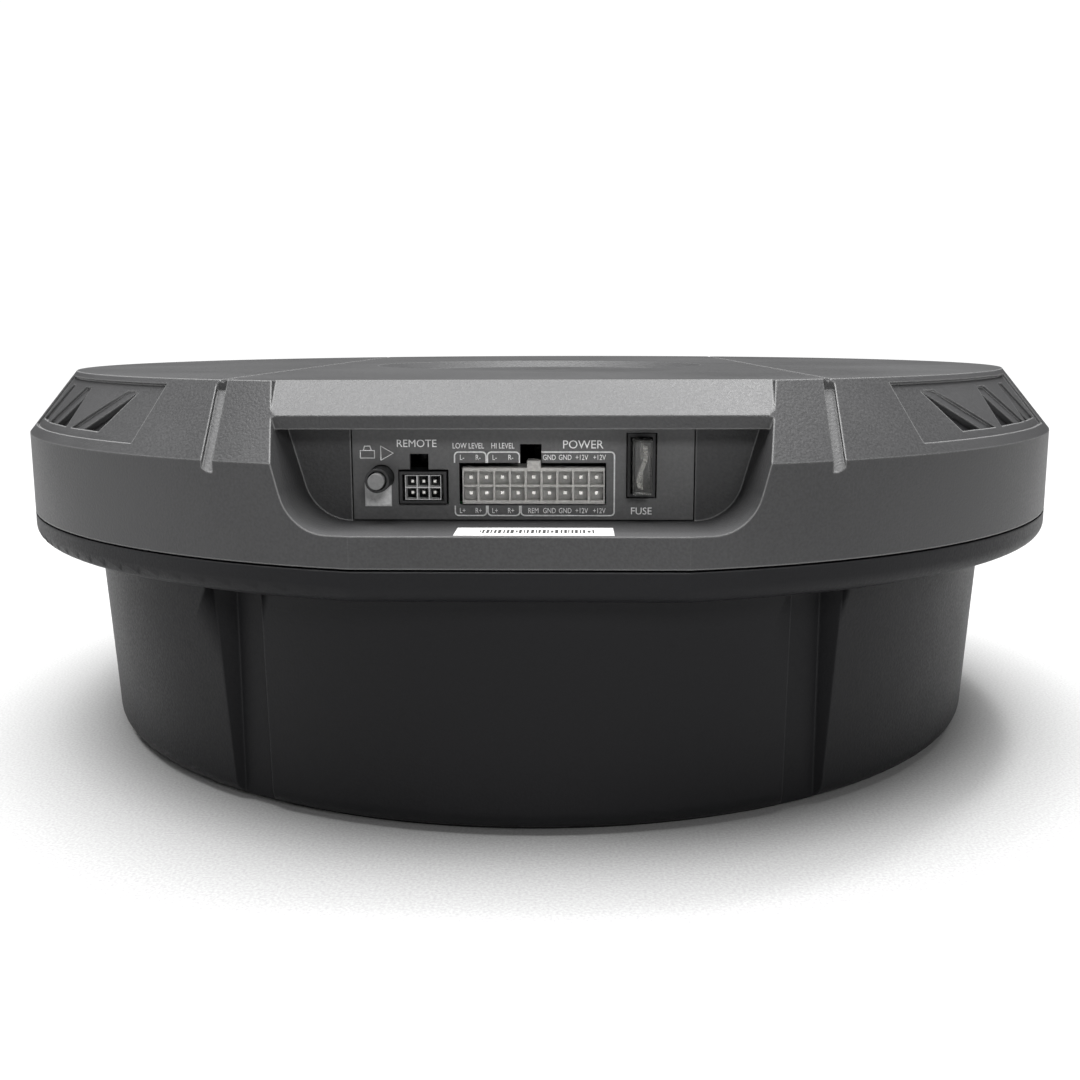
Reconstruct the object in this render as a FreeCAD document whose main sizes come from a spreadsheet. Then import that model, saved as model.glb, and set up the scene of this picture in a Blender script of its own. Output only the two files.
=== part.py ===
"""Powered spare-wheel subwoofer: a shallow round bowl with a bevelled cover, a down-firing
ring-motor woofer, a built-in amplifier and a tube up the middle for the wheel's hold-down bolt.

Millimetres. The axis is Z, the underside rests on Z = 0, and the connector recess faces -Y.
"""

import FreeCAD, Part  # noqa: E401  FreeCAD has to be imported before Part
import math
import os

import Sketcher

V = FreeCAD.Vector
doc = FreeCAD.newDocument("SpareWheelSubwoofer")
sheet = doc.addObject("Spreadsheet::Sheet", "Sizes")


# ---------------------------------------------------------------- sizes ----
class Size:
    """A length or count that knows both its number and the sheet expression that gives it."""

    def __init__(self, text, value):
        self.text = text
        self.value = float(value)

    def joined(self, other, sign, value, swap=False):
        ours, theirs = self.text, other.text if isinstance(other, Size) else repr(float(other))
        if swap:
            ours, theirs = theirs, ours
        return Size(f"({ours} {sign} {theirs})", value)

    def __add__(self, other):
        return self.joined(other, "+", self.value + number(other))

    def __radd__(self, other):
        return self.joined(other, "+", number(other) + self.value, swap=True)

    def __sub__(self, other):
        return self.joined(other, "-", self.value - number(other))

    def __rsub__(self, other):
        return self.joined(other, "-", number(other) - self.value, swap=True)

    def __mul__(self, other):
        return self.joined(other, "*", self.value * number(other))

    def __rmul__(self, other):
        return self.joined(other, "*", number(other) * self.value, swap=True)

    def __truediv__(self, other):
        return self.joined(other, "/", self.value / number(other))

    def __neg__(self):
        return Size(f"(0 - {self.text})", -self.value)


def number(size):
    """The plain number of a Size, or of a number."""
    return size.value if isinstance(size, Size) else float(size)


def cell(name, value, note):
    """Writes one driving size into the sheet and returns it."""
    cell.row += 1
    sheet.set(f"A{cell.row}", name)
    sheet.set(f"B{cell.row}", str(value))
    sheet.set(f"C{cell.row}", note)
    sheet.setAlias(f"B{cell.row}", name)
    return Size(f"Sizes.{name}", value)


cell.row = 0

# casing, overall
rim_radius = cell("rim_radius", 184, "outside of the cover's wall and of the bowl's flange")
top_radius = cell("top_radius", 168, "edge of the flat top")
bowl_radius = cell("bowl_radius", 164, "outside of the bowl under the flange")
bowl_foot_radius = cell("bowl_foot_radius", 160, "outside of the bowl at its underside")
bowl_depth = cell("bowl_depth", 68.5, "bowl's underside to the flange's underside")
flange_height = cell("flange_height", 8.5, "thickness of the bowl's flange")
wall_height = cell("wall_height", 26.5, "seam to the start of the bevel")
bevel_height = cell("bevel_height", 20, "height of the bevel")
front_flat = cell("front_flat", 179, "axis to the flat that is cut across the front")
top_flat = cell("top_flat", 151, "axis to the front edge of the flat top")
# casing, walls and joints
bowl_wall = cell("bowl_wall", 4, "wall of the bowl")
cover_wall = cell("cover_wall", 5, "upright wall of the cover")
cover_skin = cell("cover_skin", 4, "top skin of the cover")
bevel_backing = cell("bevel_backing", 7, "how far below the bevel its inside face starts")
bevel_inset = cell("bevel_inset", 7, "how far inside the flat top's edge the inside face ends")
seam_gap = cell("seam_gap", 0.6, "open seam between cover and flange")
lip_height = cell("lip_height", 3.5, "locating lip above the flange")
lip_thick = cell("lip_thick", 3.2, "thickness of the lip")
skirt_thick = cell("skirt_thick", 2.5, "thin skirt of the cover outside the lip")
lip_play = cell("lip_play", 0.3, "gap between lip and skirt")
gasket_thick = cell("gasket_thick", 1.5, "thickness of each foam gasket")
base_ring_height = cell("base_ring_height", 1.5, "rubber ring under the bowl")
base_ring_width = cell("base_ring_width", 4, "width of the rubber ring")
rib_count = cell("rib_count", 6, "channels round the bowl")
channel_floor = cell("channel_floor", 157.5, "axis to the floor of each channel")
channel_width = cell("channel_width", 12, "width of each channel's floor")
channel_flare = cell("channel_flare", 0.55, "how far its sides lean out per millimetre of depth")
flange_screw_circle = cell("flange_screw_circle", 172, "axis to the flange screws")
flange_screw_count = cell("flange_screw_count", 12, "flange screws")
column_radius = cell("column_radius", 5.5, "screw columns inside the cover")
screw_bite = cell("screw_bite", 6, "length of thread in the cover's columns")
# top details
dish_radius = cell("dish_radius", 62, "shallow dish in the middle of the top")
dish_slope = cell("dish_slope", 5, "width of the dish's sloped edge")
dish_depth = cell("dish_depth", 2.5, "depth of the dish")
crease_offset = cell("crease_offset", 81.3, "middle plane to each notch and crease")
notch_width = cell("notch_width", 3.2, "width of the notch in the bevel")
notch_depth = cell("notch_depth", 3, "upright depth of the notch")
crease_depth = cell("crease_depth", 0.8, "depth of the crease over the flat top")
press_depth = cell("press_depth", 0.9, "depth of the pressed panel round each group of vents")
vent_hole = cell("vent_hole", 4.8, "depth of each triangular vent")
vent_insert = cell("vent_insert", 1.2, "thickness of the black insert in each vent")
# hold-down tube
bore_radius = cell("bore_radius", 12.5, "hole for the wheel's hold-down bolt")
tube_wall = cell("tube_wall", 3, "wall of the hold-down tube")
tube_flange_radius = cell("tube_flange_radius", 24, "flange on top of the tube")
tube_flange_height = cell("tube_flange_height", 3, "thickness of that flange")
tube_play = cell("tube_play", 0.5, "gap round the tube in the cover")
# connector recess
recess_foot = cell("recess_foot", 58.6, "half width of the recess floor at the front, corners square")
recess_back_foot = cell("recess_back_foot", 55.6, "the same at the back")
recess_lean = cell("recess_lean", 0.28, "how far each side leans out per millimetre of height")
recess_corner = cell("recess_corner", 13, "radius of the recess's lower corners")
recess_rise = cell("recess_rise", 9, "seam to the recess floor")
recess_back = cell("recess_back", 153.6, "axis to the back wall of the recess")
ceiling_rise = cell("ceiling_rise", 37.3, "seam to the ceiling behind the lip of the hood")
hood_front = cell("hood_front", 163, "axis to the front of the hood")
hood_rise = cell("hood_rise", 34.3, "seam to the lower edge of the hood")
hood_thick = cell("hood_thick", 3, "thickness of the hood's lip")
recess_wall = cell("recess_wall", 3, "wall round the recess inside the cover")
# connector panel
panel_half = cell("panel_half", 45.5, "half width of the connector panel")
panel_thick = cell("panel_thick", 2, "thickness of the connector panel")
panel_gap = cell("panel_gap", 0.3, "gap round the panel and behind the recess face")
power_pitch = cell("power_pitch", 4.2, "pin pitch of the power and signal header")
power_columns = cell("power_columns", 9, "pin columns of that header")
power_x = cell("power_x", 2.9, "middle of that header")
power_height = cell("power_height", 9.6, "height of that header")
power_proud = cell("power_proud", 1.4, "header face in front of the panel")
remote_pitch = cell("remote_pitch", 3, "pin pitch of the remote header")
remote_x = cell("remote_x", -26.6, "middle of the remote header's pins")
remote_width = cell("remote_width", 12.6, "width of that header")
remote_height = cell("remote_height", 8.6, "height of that header")
header_depth = cell("header_depth", 12, "depth of both headers")
cell_wall = cell("cell_wall", 0.6, "wall between pin cells of the power header")
fuse_x = cell("fuse_x", 31.6, "middle plane of the fuse")
fuse_rise = cell("fuse_rise", 6.7, "recess floor to the lower end of the fuse")
fuse_length = cell("fuse_length", 16.3, "long side of the blade fuse's head")
fuse_thick = cell("fuse_thick", 4.9, "thickness of the blade fuse's head")
fuse_proud = cell("fuse_proud", 6, "fuse head in front of the panel")
button_x = cell("button_x", -37.8, "axis of the push button")
button_rise = cell("button_rise", 11.7, "recess floor to the push button's axis")
button_radius = cell("button_radius", 2.15, "push button cap")
collar_radius = cell("collar_radius", 3.2, "collar round the push button")
collar_proud = cell("collar_proud", 8, "collar in front of the panel")
button_proud = cell("button_proud", 2, "cap in front of its collar")
# woofer
ledge_radius = cell("ledge_radius", 133, "opening in the bowl for the woofer")
ledge_height = cell("ledge_height", 20, "top of the ledge that carries the woofer")
ledge_thick = cell("ledge_thick", 4, "thickness of that ledge")
step_radius = cell("step_radius", 143.5, "outside of the upright step round the opening")
guard_seat_radius = cell("guard_seat_radius", 147, "rebate for the cone guard")
guard_seat_depth = cell("guard_seat_depth", 2.5, "depth of that rebate")
guard_thick = cell("guard_thick", 2, "sheet of the cone guard")
guard_play = cell("guard_play", 0.5, "gap round the cone guard")
guard_bar = cell("guard_bar", 7, "width of the guard's bars")
guard_screw_circle = cell("guard_screw_circle", 142.6, "axis to the guard's screws")
flange_radius = cell("flange_radius", 141, "outside of the woofer's flange")
driver_screw_circle = cell("driver_screw_circle", 137.2, "axis to the woofer's screws")
driver_screw_count = cell("driver_screw_count", 10, "woofer screws")
basket_flange = cell("basket_flange", 3.5, "thickness of the basket's flange")
basket_wall = cell("basket_wall", 3, "thickness of the basket's cone")
basket_rise = cell("basket_rise", 46.5, "flange top to the motor seat")
basket_window_count = cell("basket_window_count", 8, "windows in the basket")
motor_seat_radius = cell("motor_seat_radius", 76, "outside of the basket's motor seat")
roll_middle = cell("roll_middle", 121.5, "axis to the middle of the surround's roll")
roll_radius = cell("roll_radius", 9, "outside radius of the roll")
roll_thick = cell("roll_thick", 1, "thickness of the rubber surround")
cone_thick = cell("cone_thick", 1.2, "thickness of the cone")
cone_rise = cell("cone_rise", 25.5, "depth of the cone")
coil_bore = cell("coil_bore", 37, "inside of the voice coil former")
former_thick = cell("former_thick", 0.4, "thickness of the former")
coil_thick = cell("coil_thick", 1, "thickness of the winding")
coil_length = cell("coil_length", 17, "length of the winding")
coil_gap = cell("coil_gap", 0.5, "radial gap each side of the coil")
plate_thick = cell("plate_thick", 7, "front plate")
plate_radius = cell("plate_radius", 68, "outside of the steel plates")
magnet_thick = cell("magnet_thick", 18, "ring magnet")
magnet_radius = cell("magnet_radius", 72, "outside of the magnet")
magnet_bore = cell("magnet_bore", 44, "inside of the magnet")
yoke_thick = cell("yoke_thick", 6, "back plate")
pole_play = cell("pole_play", 1, "gap between the tube and the hollow pole")
spider_radius = cell("spider_radius", 84, "outside of the spider")
spider_thick = cell("spider_thick", 0.8, "cloth of the spider")
cap_play = cell("cap_play", 2.5, "gap between the tube and the ring dust cap")
join_gap = cell("join_gap", 0.3, "gap where the moving cone meets its soft parts")
# amplifier
board_front = cell("board_front", 149.6, "axis to the front edge of the board")
board_length = cell("board_length", 50, "front to back")
board_half = cell("board_half", 47, "half width of the board")
board_thick = cell("board_thick", 1.6, "circuit board")
standoff_height = cell("standoff_height", 5, "board above its bracket")
bracket_thick = cell("bracket_thick", 2, "aluminium bracket")
bracket_half = cell("bracket_half", 60, "half width of the bracket")
sink_height = cell("sink_height", 24, "upright of the bracket, which cools the transistors")
hanger_x = cell("hanger_x", 54, "middle plane to the cover's hangers")
hanger_radius = cell("hanger_radius", 4, "hangers that carry the bracket")
lead_radius = cell("lead_radius", 1.3, "speaker leads")
# fasteners
bolt_radius = cell("bolt_radius", 2, "shank of the flange and bracket screws")
bolt_head = cell("bolt_head", 4, "head radius of those screws")
well_depth = cell("well_depth", 3.5, "how deep the flange screws sit in the flange")
bolt_head_height = cell("bolt_head_height", 2.6, "head height of those screws")
small_bolt = cell("small_bolt", 1.5, "shank of the guard screws")
small_head = cell("small_head", 2.8, "head radius of the guard screws")
small_head_height = cell("small_head_height", 1.6, "head height of the guard screws")
hole_play = cell("hole_play", 0.2, "radial clearance of every screw hole")
doc.recompute()

# heights that follow from the sizes
bowl_base = base_ring_height
flange_base = bowl_base + bowl_depth
seam = flange_base + flange_height
bevel_base = seam + wall_height
top = bevel_base + bevel_height
lip_top = seam + lip_height
step_height = lip_top + gasket_thick
recess_floor = seam + recess_rise
recess_ceiling = seam + ceiling_rise
hood_lip = seam + hood_rise
fuse_foot = recess_floor + fuse_rise
button_z = recess_floor + button_rise
tube_radius = bore_radius + tube_wall
dish_floor = top - dish_depth
tube_seat = dish_floor - tube_flange_height
guard_top = bowl_base + guard_seat_depth
flange_face = ledge_height + gasket_thick
basket_top = flange_face + basket_flange
motor_seat = basket_top + basket_rise
magnet_face = motor_seat + plate_thick
yoke_face = magnet_face + magnet_thick
former_radius = coil_bore + former_thick
coil_middle = motor_seat + plate_thick / 2
spider_face = motor_seat - 15
cone_edge = roll_middle - roll_radius + 1
cone_face = flange_face + roll_thick / 2 + join_gap
panel_face = recess_back - panel_gap
board_top = recess_floor + 4.8
board_base = board_top - board_thick
bracket_top = board_base - standoff_height
bracket_base = bracket_top - bracket_thick
board_back = board_front - board_length


# -------------------------------------------------------------- helpers ----
def body(label):
    """An empty PartDesign body that may hold several solids."""
    made = doc.addObject("PartDesign::Body", label)
    made.Label = label
    made.AllowCompound = True
    return made


def bind(item, place, size):
    """Ties one property of an item to the sheet."""
    if isinstance(size, Size):
        item.setExpression(place, size.text)


def sketch(owner, role, offset=0.0):
    """A sketch on one of the body's origin planes, moved along the plane's normal."""
    made = owner.newObject("Sketcher::SketchObject", owner.Name + "_sketch")
    plane = next(f for f in owner.Origin.OriginFeatures if f.Role == role)
    made.AttachmentSupport = [(plane, "")]
    made.MapMode = "FlatFace"
    made.AttachmentOffset = FreeCAD.Placement(V(0, 0, number(offset)), FreeCAD.Rotation())
    bind(made, "AttachmentOffset.Base.z", offset)
    return made


def pin_point(drawing, index, end, x, y):
    """Holds one point of a sketch at x, y from the origin."""
    for kind, size in (("DistanceX", x), ("DistanceY", y)):
        rule = Sketcher.Constraint(kind, -1, 1, index, end, number(size))
        place = drawing.addConstraint(rule)
        bind(drawing, f"Constraints[{place}]", size)


def polygon(drawing, points):
    """A closed outline of straight lines through points, each tied to its sizes."""
    first = drawing.GeometryCount
    count = len(points)
    for i in range(count):
        (ax, ay), (bx, by) = points[i], points[(i + 1) % count]
        start, end = V(number(ax), number(ay), 0), V(number(bx), number(by), 0)
        drawing.addGeometry(Part.LineSegment(start, end), False)
    for i in range(count):
        following = first + (i + 1) % count
        drawing.addConstraint(Sketcher.Constraint("Coincident", first + i, 2, following, 1))
    for i, (x, y) in enumerate(points):
        pin_point(drawing, first + i, 1, x, y)


def rectangle(drawing, x0, y0, x1, y1):
    """A closed upright rectangle."""
    polygon(drawing, [(x0, y0), (x1, y0), (x1, y1), (x0, y1)])


def circle(drawing, x, y, radius):
    """A circle tied to its middle and radius."""
    shape = Part.Circle(V(number(x), number(y), 0), V(0, 0, 1), number(radius))
    index = drawing.addGeometry(shape, False)
    pin_point(drawing, index, 3, x, y)
    place = drawing.addConstraint(Sketcher.Constraint("Radius", index, number(radius)))
    bind(drawing, f"Constraints[{place}]", radius)


def dee(drawing, radius, flat):
    """A circle whose lower side is cut off straight at a distance from the middle."""
    angle = math.asin(number(flat) / number(radius))
    whole = Part.Circle(V(0, 0, 0), V(0, 0, 1), number(radius))
    arc = drawing.addGeometry(Part.ArcOfCircle(whole, -angle, math.pi + angle), False)
    near, far = (drawing.Geometry[arc].EndPoint, drawing.Geometry[arc].StartPoint)
    line = drawing.addGeometry(Part.LineSegment(near, far), False)
    drawing.addConstraint(Sketcher.Constraint("Coincident", arc, 2, line, 1))
    drawing.addConstraint(Sketcher.Constraint("Coincident", arc, 1, line, 2))
    drawing.addConstraint(Sketcher.Constraint("Horizontal", line))
    pin_point(drawing, arc, 3, 0, 0)
    place = drawing.addConstraint(Sketcher.Constraint("Radius", arc, number(radius)))
    bind(drawing, f"Constraints[{place}]", radius)
    rule = Sketcher.Constraint("DistanceY", line, 1, -1, 1, number(flat))
    bind(drawing, f"Constraints[{drawing.addConstraint(rule)}]", flat)


def dee_ring(owner, radius, flat, thick, low, high):
    """A flat-fronted ring of even thickness between two heights."""
    drawing = sketch(owner, "XY_Plane", low)
    dee(drawing, radius, flat)
    dee(drawing, radius - thick, flat - thick)
    return pad(owner, drawing, high - low)


def half_ring(drawing, x, y, outer, inner):
    """The lower half of a ring's section: two arcs and the two short lines that close it."""
    arcs = []
    for radius in (outer, inner):
        whole = Part.Circle(V(number(x), number(y), 0), V(0, 0, 1), number(radius))
        index = drawing.addGeometry(Part.ArcOfCircle(whole, math.pi, 2 * math.pi), False)
        pin_point(drawing, index, 3, x, y)
        place = drawing.addConstraint(Sketcher.Constraint("Radius", index, number(radius)))
        bind(drawing, f"Constraints[{place}]", radius)
        for end in (1, 2):
            drawing.addConstraint(Sketcher.Constraint("Horizontal", index, 3, index, end))
        arcs.append(index)
    for end, side in ((1, -1), (2, 1)):
        near = V(number(x) + side * number(inner), number(y), 0)
        far = V(number(x) + side * number(outer), number(y), 0)
        line = drawing.addGeometry(Part.LineSegment(far, near), False)
        drawing.addConstraint(Sketcher.Constraint("Coincident", arcs[0], end, line, 1))
        drawing.addConstraint(Sketcher.Constraint("Coincident", arcs[1], end, line, 2))


def feature(owner, kind, drawing, **settings):
    """Adds one PartDesign feature made from a sketch."""
    made = owner.newObject("PartDesign::" + kind, f"{owner.Name}_{kind.lower()}")
    made.Profile = drawing
    for name, value in settings.items():
        if isinstance(value, Size):
            bind(made, name, value)
        else:
            setattr(made, name, value)
    return made


def turn(owner, points, kind="Revolution"):
    """Turns a closed outline of (radius, height) points round the Z axis."""
    drawing = sketch(owner, "XZ_Plane")
    polygon(drawing, points)
    return feature(owner, kind, drawing, ReferenceAxis=(drawing, ["V_Axis"]), Angle=360)


def turned(label, *outlines):
    """A named sub-part made of turned outlines."""
    owner = body(label)
    for points in outlines:
        turn(owner, points)
    return owner


def ring(inner, outer, low, high):
    """The outline of a plain ring."""
    return [(inner, low), (outer, low), (outer, high), (inner, high)]


def pad(owner, drawing, length):
    """Pads a sketch along its normal."""
    return feature(owner, "Pad", drawing, Length=length)


def cut(owner, drawing, length, reverse=False):
    """Pockets a sketch; by default it cuts against the sketch's normal, reversed along it."""
    return feature(owner, "Pocket", drawing, Length=length, Reversed=reverse)


def polar(owner, features, count, axis="N_Axis"):
    """Repeats features evenly round the Z axis, named as it is seen from the first sketch."""
    made = owner.newObject("PartDesign::PolarPattern", owner.Name + "_polar")
    made.Originals = features
    made.Axis = (features[0].Profile[0], [axis])
    made.Angle = 360
    bind(made, "Occurrences", count)
    owner.Tip = made
    return made


def round_edges(owner, radius, wanted):
    """Fillets the edges of the body's last feature for which wanted(edge) is true."""
    doc.recompute()
    base = owner.Tip
    names = [f"Edge{i + 1}" for i, edge in enumerate(base.Shape.Edges) if wanted(edge)]
    made = owner.newObject("PartDesign::Fillet", owner.Name + "_fillet")
    made.Base = (base, names)
    bind(made, "Radius", radius)
    if not isinstance(radius, Size):
        made.Radius = radius
    return made


def level(edge, height):
    """Whether an edge lies flat at one height."""
    return abs(edge.BoundBox.ZMin - number(height)) < 0.02 > abs(edge.BoundBox.ZMax - number(height))


def reach(edge):
    """How far from the Z axis an edge's ends are."""
    return max(math.hypot(v.X, v.Y) for v in edge.Vertexes)


def combined(label, kind, base, tool):
    """A Part boolean of two finished objects, under its own label."""
    made = doc.addObject("Part::" + kind, label)
    made.Label = label
    made.Base = base
    made.Tool = tool
    return made


def plain(label, shape):
    """A sub-part whose shape is worked out with Part's own functions."""
    made = doc.addObject("Part::Feature", label)
    made.Label = label
    made.Shape = shape
    return made


def root_of(size):
    """The square root of a Size."""
    return Size(f"sqrt({size.text})", math.sqrt(size.value))


def along(radius, offset):
    """How far along a chord a circle of this radius reaches at this offset from the middle."""
    return root_of(radius * radius - offset * offset)


# --------------------------------------------------------------- casing ----
FAR = 400  # longer than anything that has to be cut right through
recess_taper = (recess_foot - recess_back_foot) / (front_flat - recess_back)


def front_cut(owner, flat, low, high):
    """Cuts a body's front off flat, between two heights."""
    drawing = sketch(owner, "XY_Plane", high)
    rectangle(drawing, -FAR, -FAR, FAR, -flat)
    cut(owner, drawing, high - low)


def above_slope(label, back, top_edge, front, low_edge):
    """All the room above the hood's slope, which runs from (back, top_edge) to (front, low_edge)."""
    owner = body(label)
    drawing = sketch(owner, "YZ_Plane")
    roof = top_edge + 3
    polygon(
        drawing, [(-back, roof), (-back, top_edge), (-front, low_edge), (-FAR, low_edge), (-FAR, roof)]
    )
    feature(owner, "Pad", drawing, Midplane=True, Length=FAR)
    return owner


def slope_block(owner, near, far, low, high, extra):
    """A block with leaning sides from one depth to another, as wide as the recess plus extra."""
    ends = []
    for depth in (far, near):
        drawing = sketch(owner, "XZ_Plane", depth)
        foot = recess_back_foot + recess_taper * (depth - recess_back) + extra
        lower = foot + recess_lean * (low - recess_floor)
        upper = foot + recess_lean * (high - recess_floor)
        polygon(drawing, [(-lower, low), (lower, low), (upper, high), (-upper, high)])
        ends.append(drawing)
    return feature(owner, "AdditiveLoft", ends[0], Sections=[ends[1]])


def round_floor(owner):
    """Rounds the two long lower corners of the recess."""
    round_edges(
        owner,
        recess_corner,
        lambda edge: level(edge, recess_floor) and edge.BoundBox.YLength > 5 > edge.BoundBox.XLength,
    )


cover_outer = turned(
    "cover_outer",
    [
        (tube_radius + tube_play, seam + seam_gap),
        (rim_radius, seam + seam_gap),
        (rim_radius, bevel_base),
        (top_radius, top),
        (dish_radius, top),
        (dish_radius - dish_slope, dish_floor),
        (tube_flange_radius + tube_play, dish_floor),
        (tube_flange_radius + tube_play, tube_seat),
        (tube_radius + tube_play, tube_seat),
    ],
)
front_cut(cover_outer, front_flat, seam, top + 1)
for side in (-1, 1):
    notch = sketch(cover_outer, "YZ_Plane", side * crease_offset)
    upper_end, lower_end = along(top_radius, crease_offset), along(rim_radius, crease_offset)
    polygon(
        notch,
        [
            (-upper_end, top + 1),
            (-upper_end, top - notch_depth),
            (-lower_end, bevel_base - notch_depth),
            (-lower_end - 9, bevel_base - notch_depth),
            (-lower_end - 9, top + 1),
        ],
    )
    feature(cover_outer, "Pocket", notch, Midplane=True, Length=notch_width)
    crease = sketch(cover_outer, "XZ_Plane")
    middle = side * crease_offset
    polygon(
        crease,
        [
            (middle - 2 * crease_depth, top + crease_depth),
            (middle, top - crease_depth),
            (middle + 2 * crease_depth, top + crease_depth),
        ],
    )
    feature(cover_outer, "Pocket", crease, Midplane=True, Length=2 * FAR)
screw_holes = sketch(cover_outer, "XY_Plane", seam)
hole_x = flange_screw_circle * math.cos(math.radians(15))
hole_y = flange_screw_circle * math.sin(math.radians(15))
circle(screw_holes, hole_x, hole_y, bolt_radius + hole_play / 2)
screw_hole = cut(cover_outer, screw_holes, seam_gap + screw_bite + 1, reverse=True)
polar(cover_outer, [screw_hole], flange_screw_count)
hanger_spots = [(side * hanger_x, -y) for side in (-1, 1) for y in (board_front - 8, board_back + 8)]
hanger_holes = sketch(cover_outer, "XY_Plane", bracket_top)
for x, y in hanger_spots:
    circle(hanger_holes, x, y, bolt_radius + hole_play / 2)
cut(cover_outer, hanger_holes, 8, reverse=True)

cover_cavity = turned(
    "cover_cavity",
    [
        (tube_radius + tube_play - 1, seam),
        (rim_radius - cover_wall, seam),
        (rim_radius - cover_wall, bevel_base - bevel_backing),
        (top_radius - bevel_inset, top - cover_skin),
        (dish_radius + cover_skin, top - cover_skin),
        (dish_radius, dish_floor - cover_skin),
        (tube_flange_radius + tube_play + cover_skin, dish_floor - cover_skin),
        (tube_flange_radius + tube_play + cover_skin, tube_seat - cover_skin),
        (tube_radius + tube_play - 1, tube_seat - cover_skin),
    ],
)
front_cut(cover_cavity, front_flat - cover_wall, seam - 1, top)
columns = sketch(cover_cavity, "XY_Plane", seam + seam_gap)
circle(columns, hole_x, hole_y, column_radius)
column = cut(cover_cavity, columns, top - seam, reverse=True)
polar(cover_cavity, [column], flange_screw_count)

hangers = sketch(cover_cavity, "XY_Plane", bracket_top)
for x, y in hanger_spots:
    circle(hangers, x, y, hanger_radius)
cut(cover_cavity, hangers, top - bracket_top, reverse=True)


cover_skirt = body("cover_skirt")
lip_radius = rim_radius - skirt_thick - lip_play
lip_flat = front_flat - skirt_thick - lip_play
dee_ring(
    cover_skirt,
    lip_radius + lip_play,
    lip_flat + lip_play,
    lip_thick + 2 * lip_play,
    seam - 1,
    step_height,
)

recess_front = front_flat + 12
no_wall = Size("0", 0)
recess_room = body("recess_room")
slope_block(recess_room, recess_back, recess_front, recess_floor, hood_lip, no_wall)
slope_block(recess_room, recess_back, hood_front - hood_thick, recess_floor, recess_ceiling, no_wall)
slope_block(recess_room, hood_front, recess_front, recess_floor, top + 6, no_wall)
round_floor(recess_room)
hood_slope = above_slope("hood_slope", top_flat, top, front_flat, bevel_base)
hood_block = body("hood_block")
slope_block(hood_block, top_flat - 2, recess_front, bevel_base, top + 2, no_wall)
hood_room = combined("hood_room", "Common", hood_slope, hood_block)
window = sketch(recess_room, "XZ_Plane", recess_back + 1)
window_half = panel_half + panel_gap
window_foot, window_top = recess_floor, recess_ceiling - 1
rectangle(window, -window_half, window_foot, window_half, window_top)
window_pad = pad(recess_room, window, recess_wall + 3)
window_pad.Reversed = True
recess_shell = body("recess_shell")
shell_extra = recess_wall + recess_lean * recess_wall
slope_block(
    recess_shell,
    recess_back - recess_wall,
    recess_front,
    recess_floor - recess_wall,
    top + 6,
    shell_extra,
)


# each vent: angles from the front of its near lower, far lower and upper corner
VENTS = ((43.3, 47.7, 40.6), (51.4, 56.8, 52.3), (59.7, 63.2, 60.0))
VENT_FOOT = 5.2  # corner heights above the start of the bevel
VENT_HEAD = 16.5
BAND_WIDTH = 2.2  # slanted band beside each vent, degrees
BAND_DEPTH = 1.9
PRESS_START, PRESS_END = 36.3, 66.2  # the pressed panel's ends, degrees from the front
PRESS_FOOT, PRESS_HEAD = 2.8, 18.5  # and its edges, above the start of the bevel
CLEAR = 9  # how far the cutting shapes stand out of the bevel


def bevel_point(angle, rise):
    """A point on the bevel, at an angle from the front and a height above the bevel's start."""
    share = rise / bevel_height.value
    radius = rim_radius.value + (top_radius.value - rim_radius.value) * share
    turn_angle = math.radians(angle)
    return V(radius * math.sin(turn_angle), -radius * math.cos(turn_angle), bevel_base.value + rise)


def bevel_normal(angle):
    """The outward direction of the bevel at an angle from the front."""
    run = rim_radius.value - top_radius.value
    turn_angle = math.radians(angle)
    flat = V(math.sin(turn_angle), -math.cos(turn_angle), 0) * bevel_height.value
    return (flat + V(0, 0, run)).normalize()


def prism(corners, base, normal, low, high):
    """A straight prism over corners laid into the plane through base, from low to high."""
    laid = [p - normal * (p - base).dot(normal) + normal * low for p in corners]
    face = Part.Face(Part.makePolygon(laid + laid[:1]))
    return face.extrude(normal * (high - low))


def pressed_panel():
    """The room of the shallow panel round one group of vents, turned round the axis."""
    normal = bevel_normal(0)
    low, high = bevel_point(0, PRESS_FOOT), bevel_point(0, PRESS_HEAD)
    sunk = normal * press_depth.value
    corners = [low - sunk, high - sunk, high + normal * CLEAR, low + normal * CLEAR]
    face = Part.Face(Part.makePolygon(corners + corners[:1]))
    face.rotate(V(0, 0, 0), V(0, 0, 1), PRESS_START)
    return face.revolve(V(0, 0, 0), V(0, 0, 1), PRESS_END - PRESS_START)


def vent_shapes():
    """The room of one group of vents, and the black insert at the bottom of each vent."""
    rooms, inserts = [], []
    for near, far, head in VENTS:
        normal = bevel_normal(far)
        base = bevel_point(far, VENT_FOOT)
        foot, tip = bevel_point(far, VENT_FOOT), bevel_point(head, VENT_HEAD)
        corners = [bevel_point(near, VENT_FOOT), foot, tip]
        band = [
            foot,
            tip,
            bevel_point(head + BAND_WIDTH, VENT_HEAD),
            bevel_point(far + BAND_WIDTH, VENT_FOOT),
        ]
        rooms.append(prism(band, base, normal, -BAND_DEPTH, CLEAR))
        rooms.append(prism(corners, base, normal, -vent_hole.value, CLEAR))
        inner = sum(corners, V(0, 0, 0)) / 3
        shrunk = [inner + (p - inner) * 0.985 for p in corners]
        low = -vent_hole.value
        inserts.append(prism(shrunk, base, normal, low, low + vent_insert.value))
    return [pressed_panel().fuse(rooms)], inserts


def four_ways(shapes):
    """Copies shapes to all four quarters of the cover."""
    result = list(shapes)
    result += [s.mirror(V(0, 0, 0), V(1, 0, 0)) for s in result]
    result += [s.mirror(V(0, 0, 0), V(0, 1, 0)) for s in result]
    return result


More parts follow.
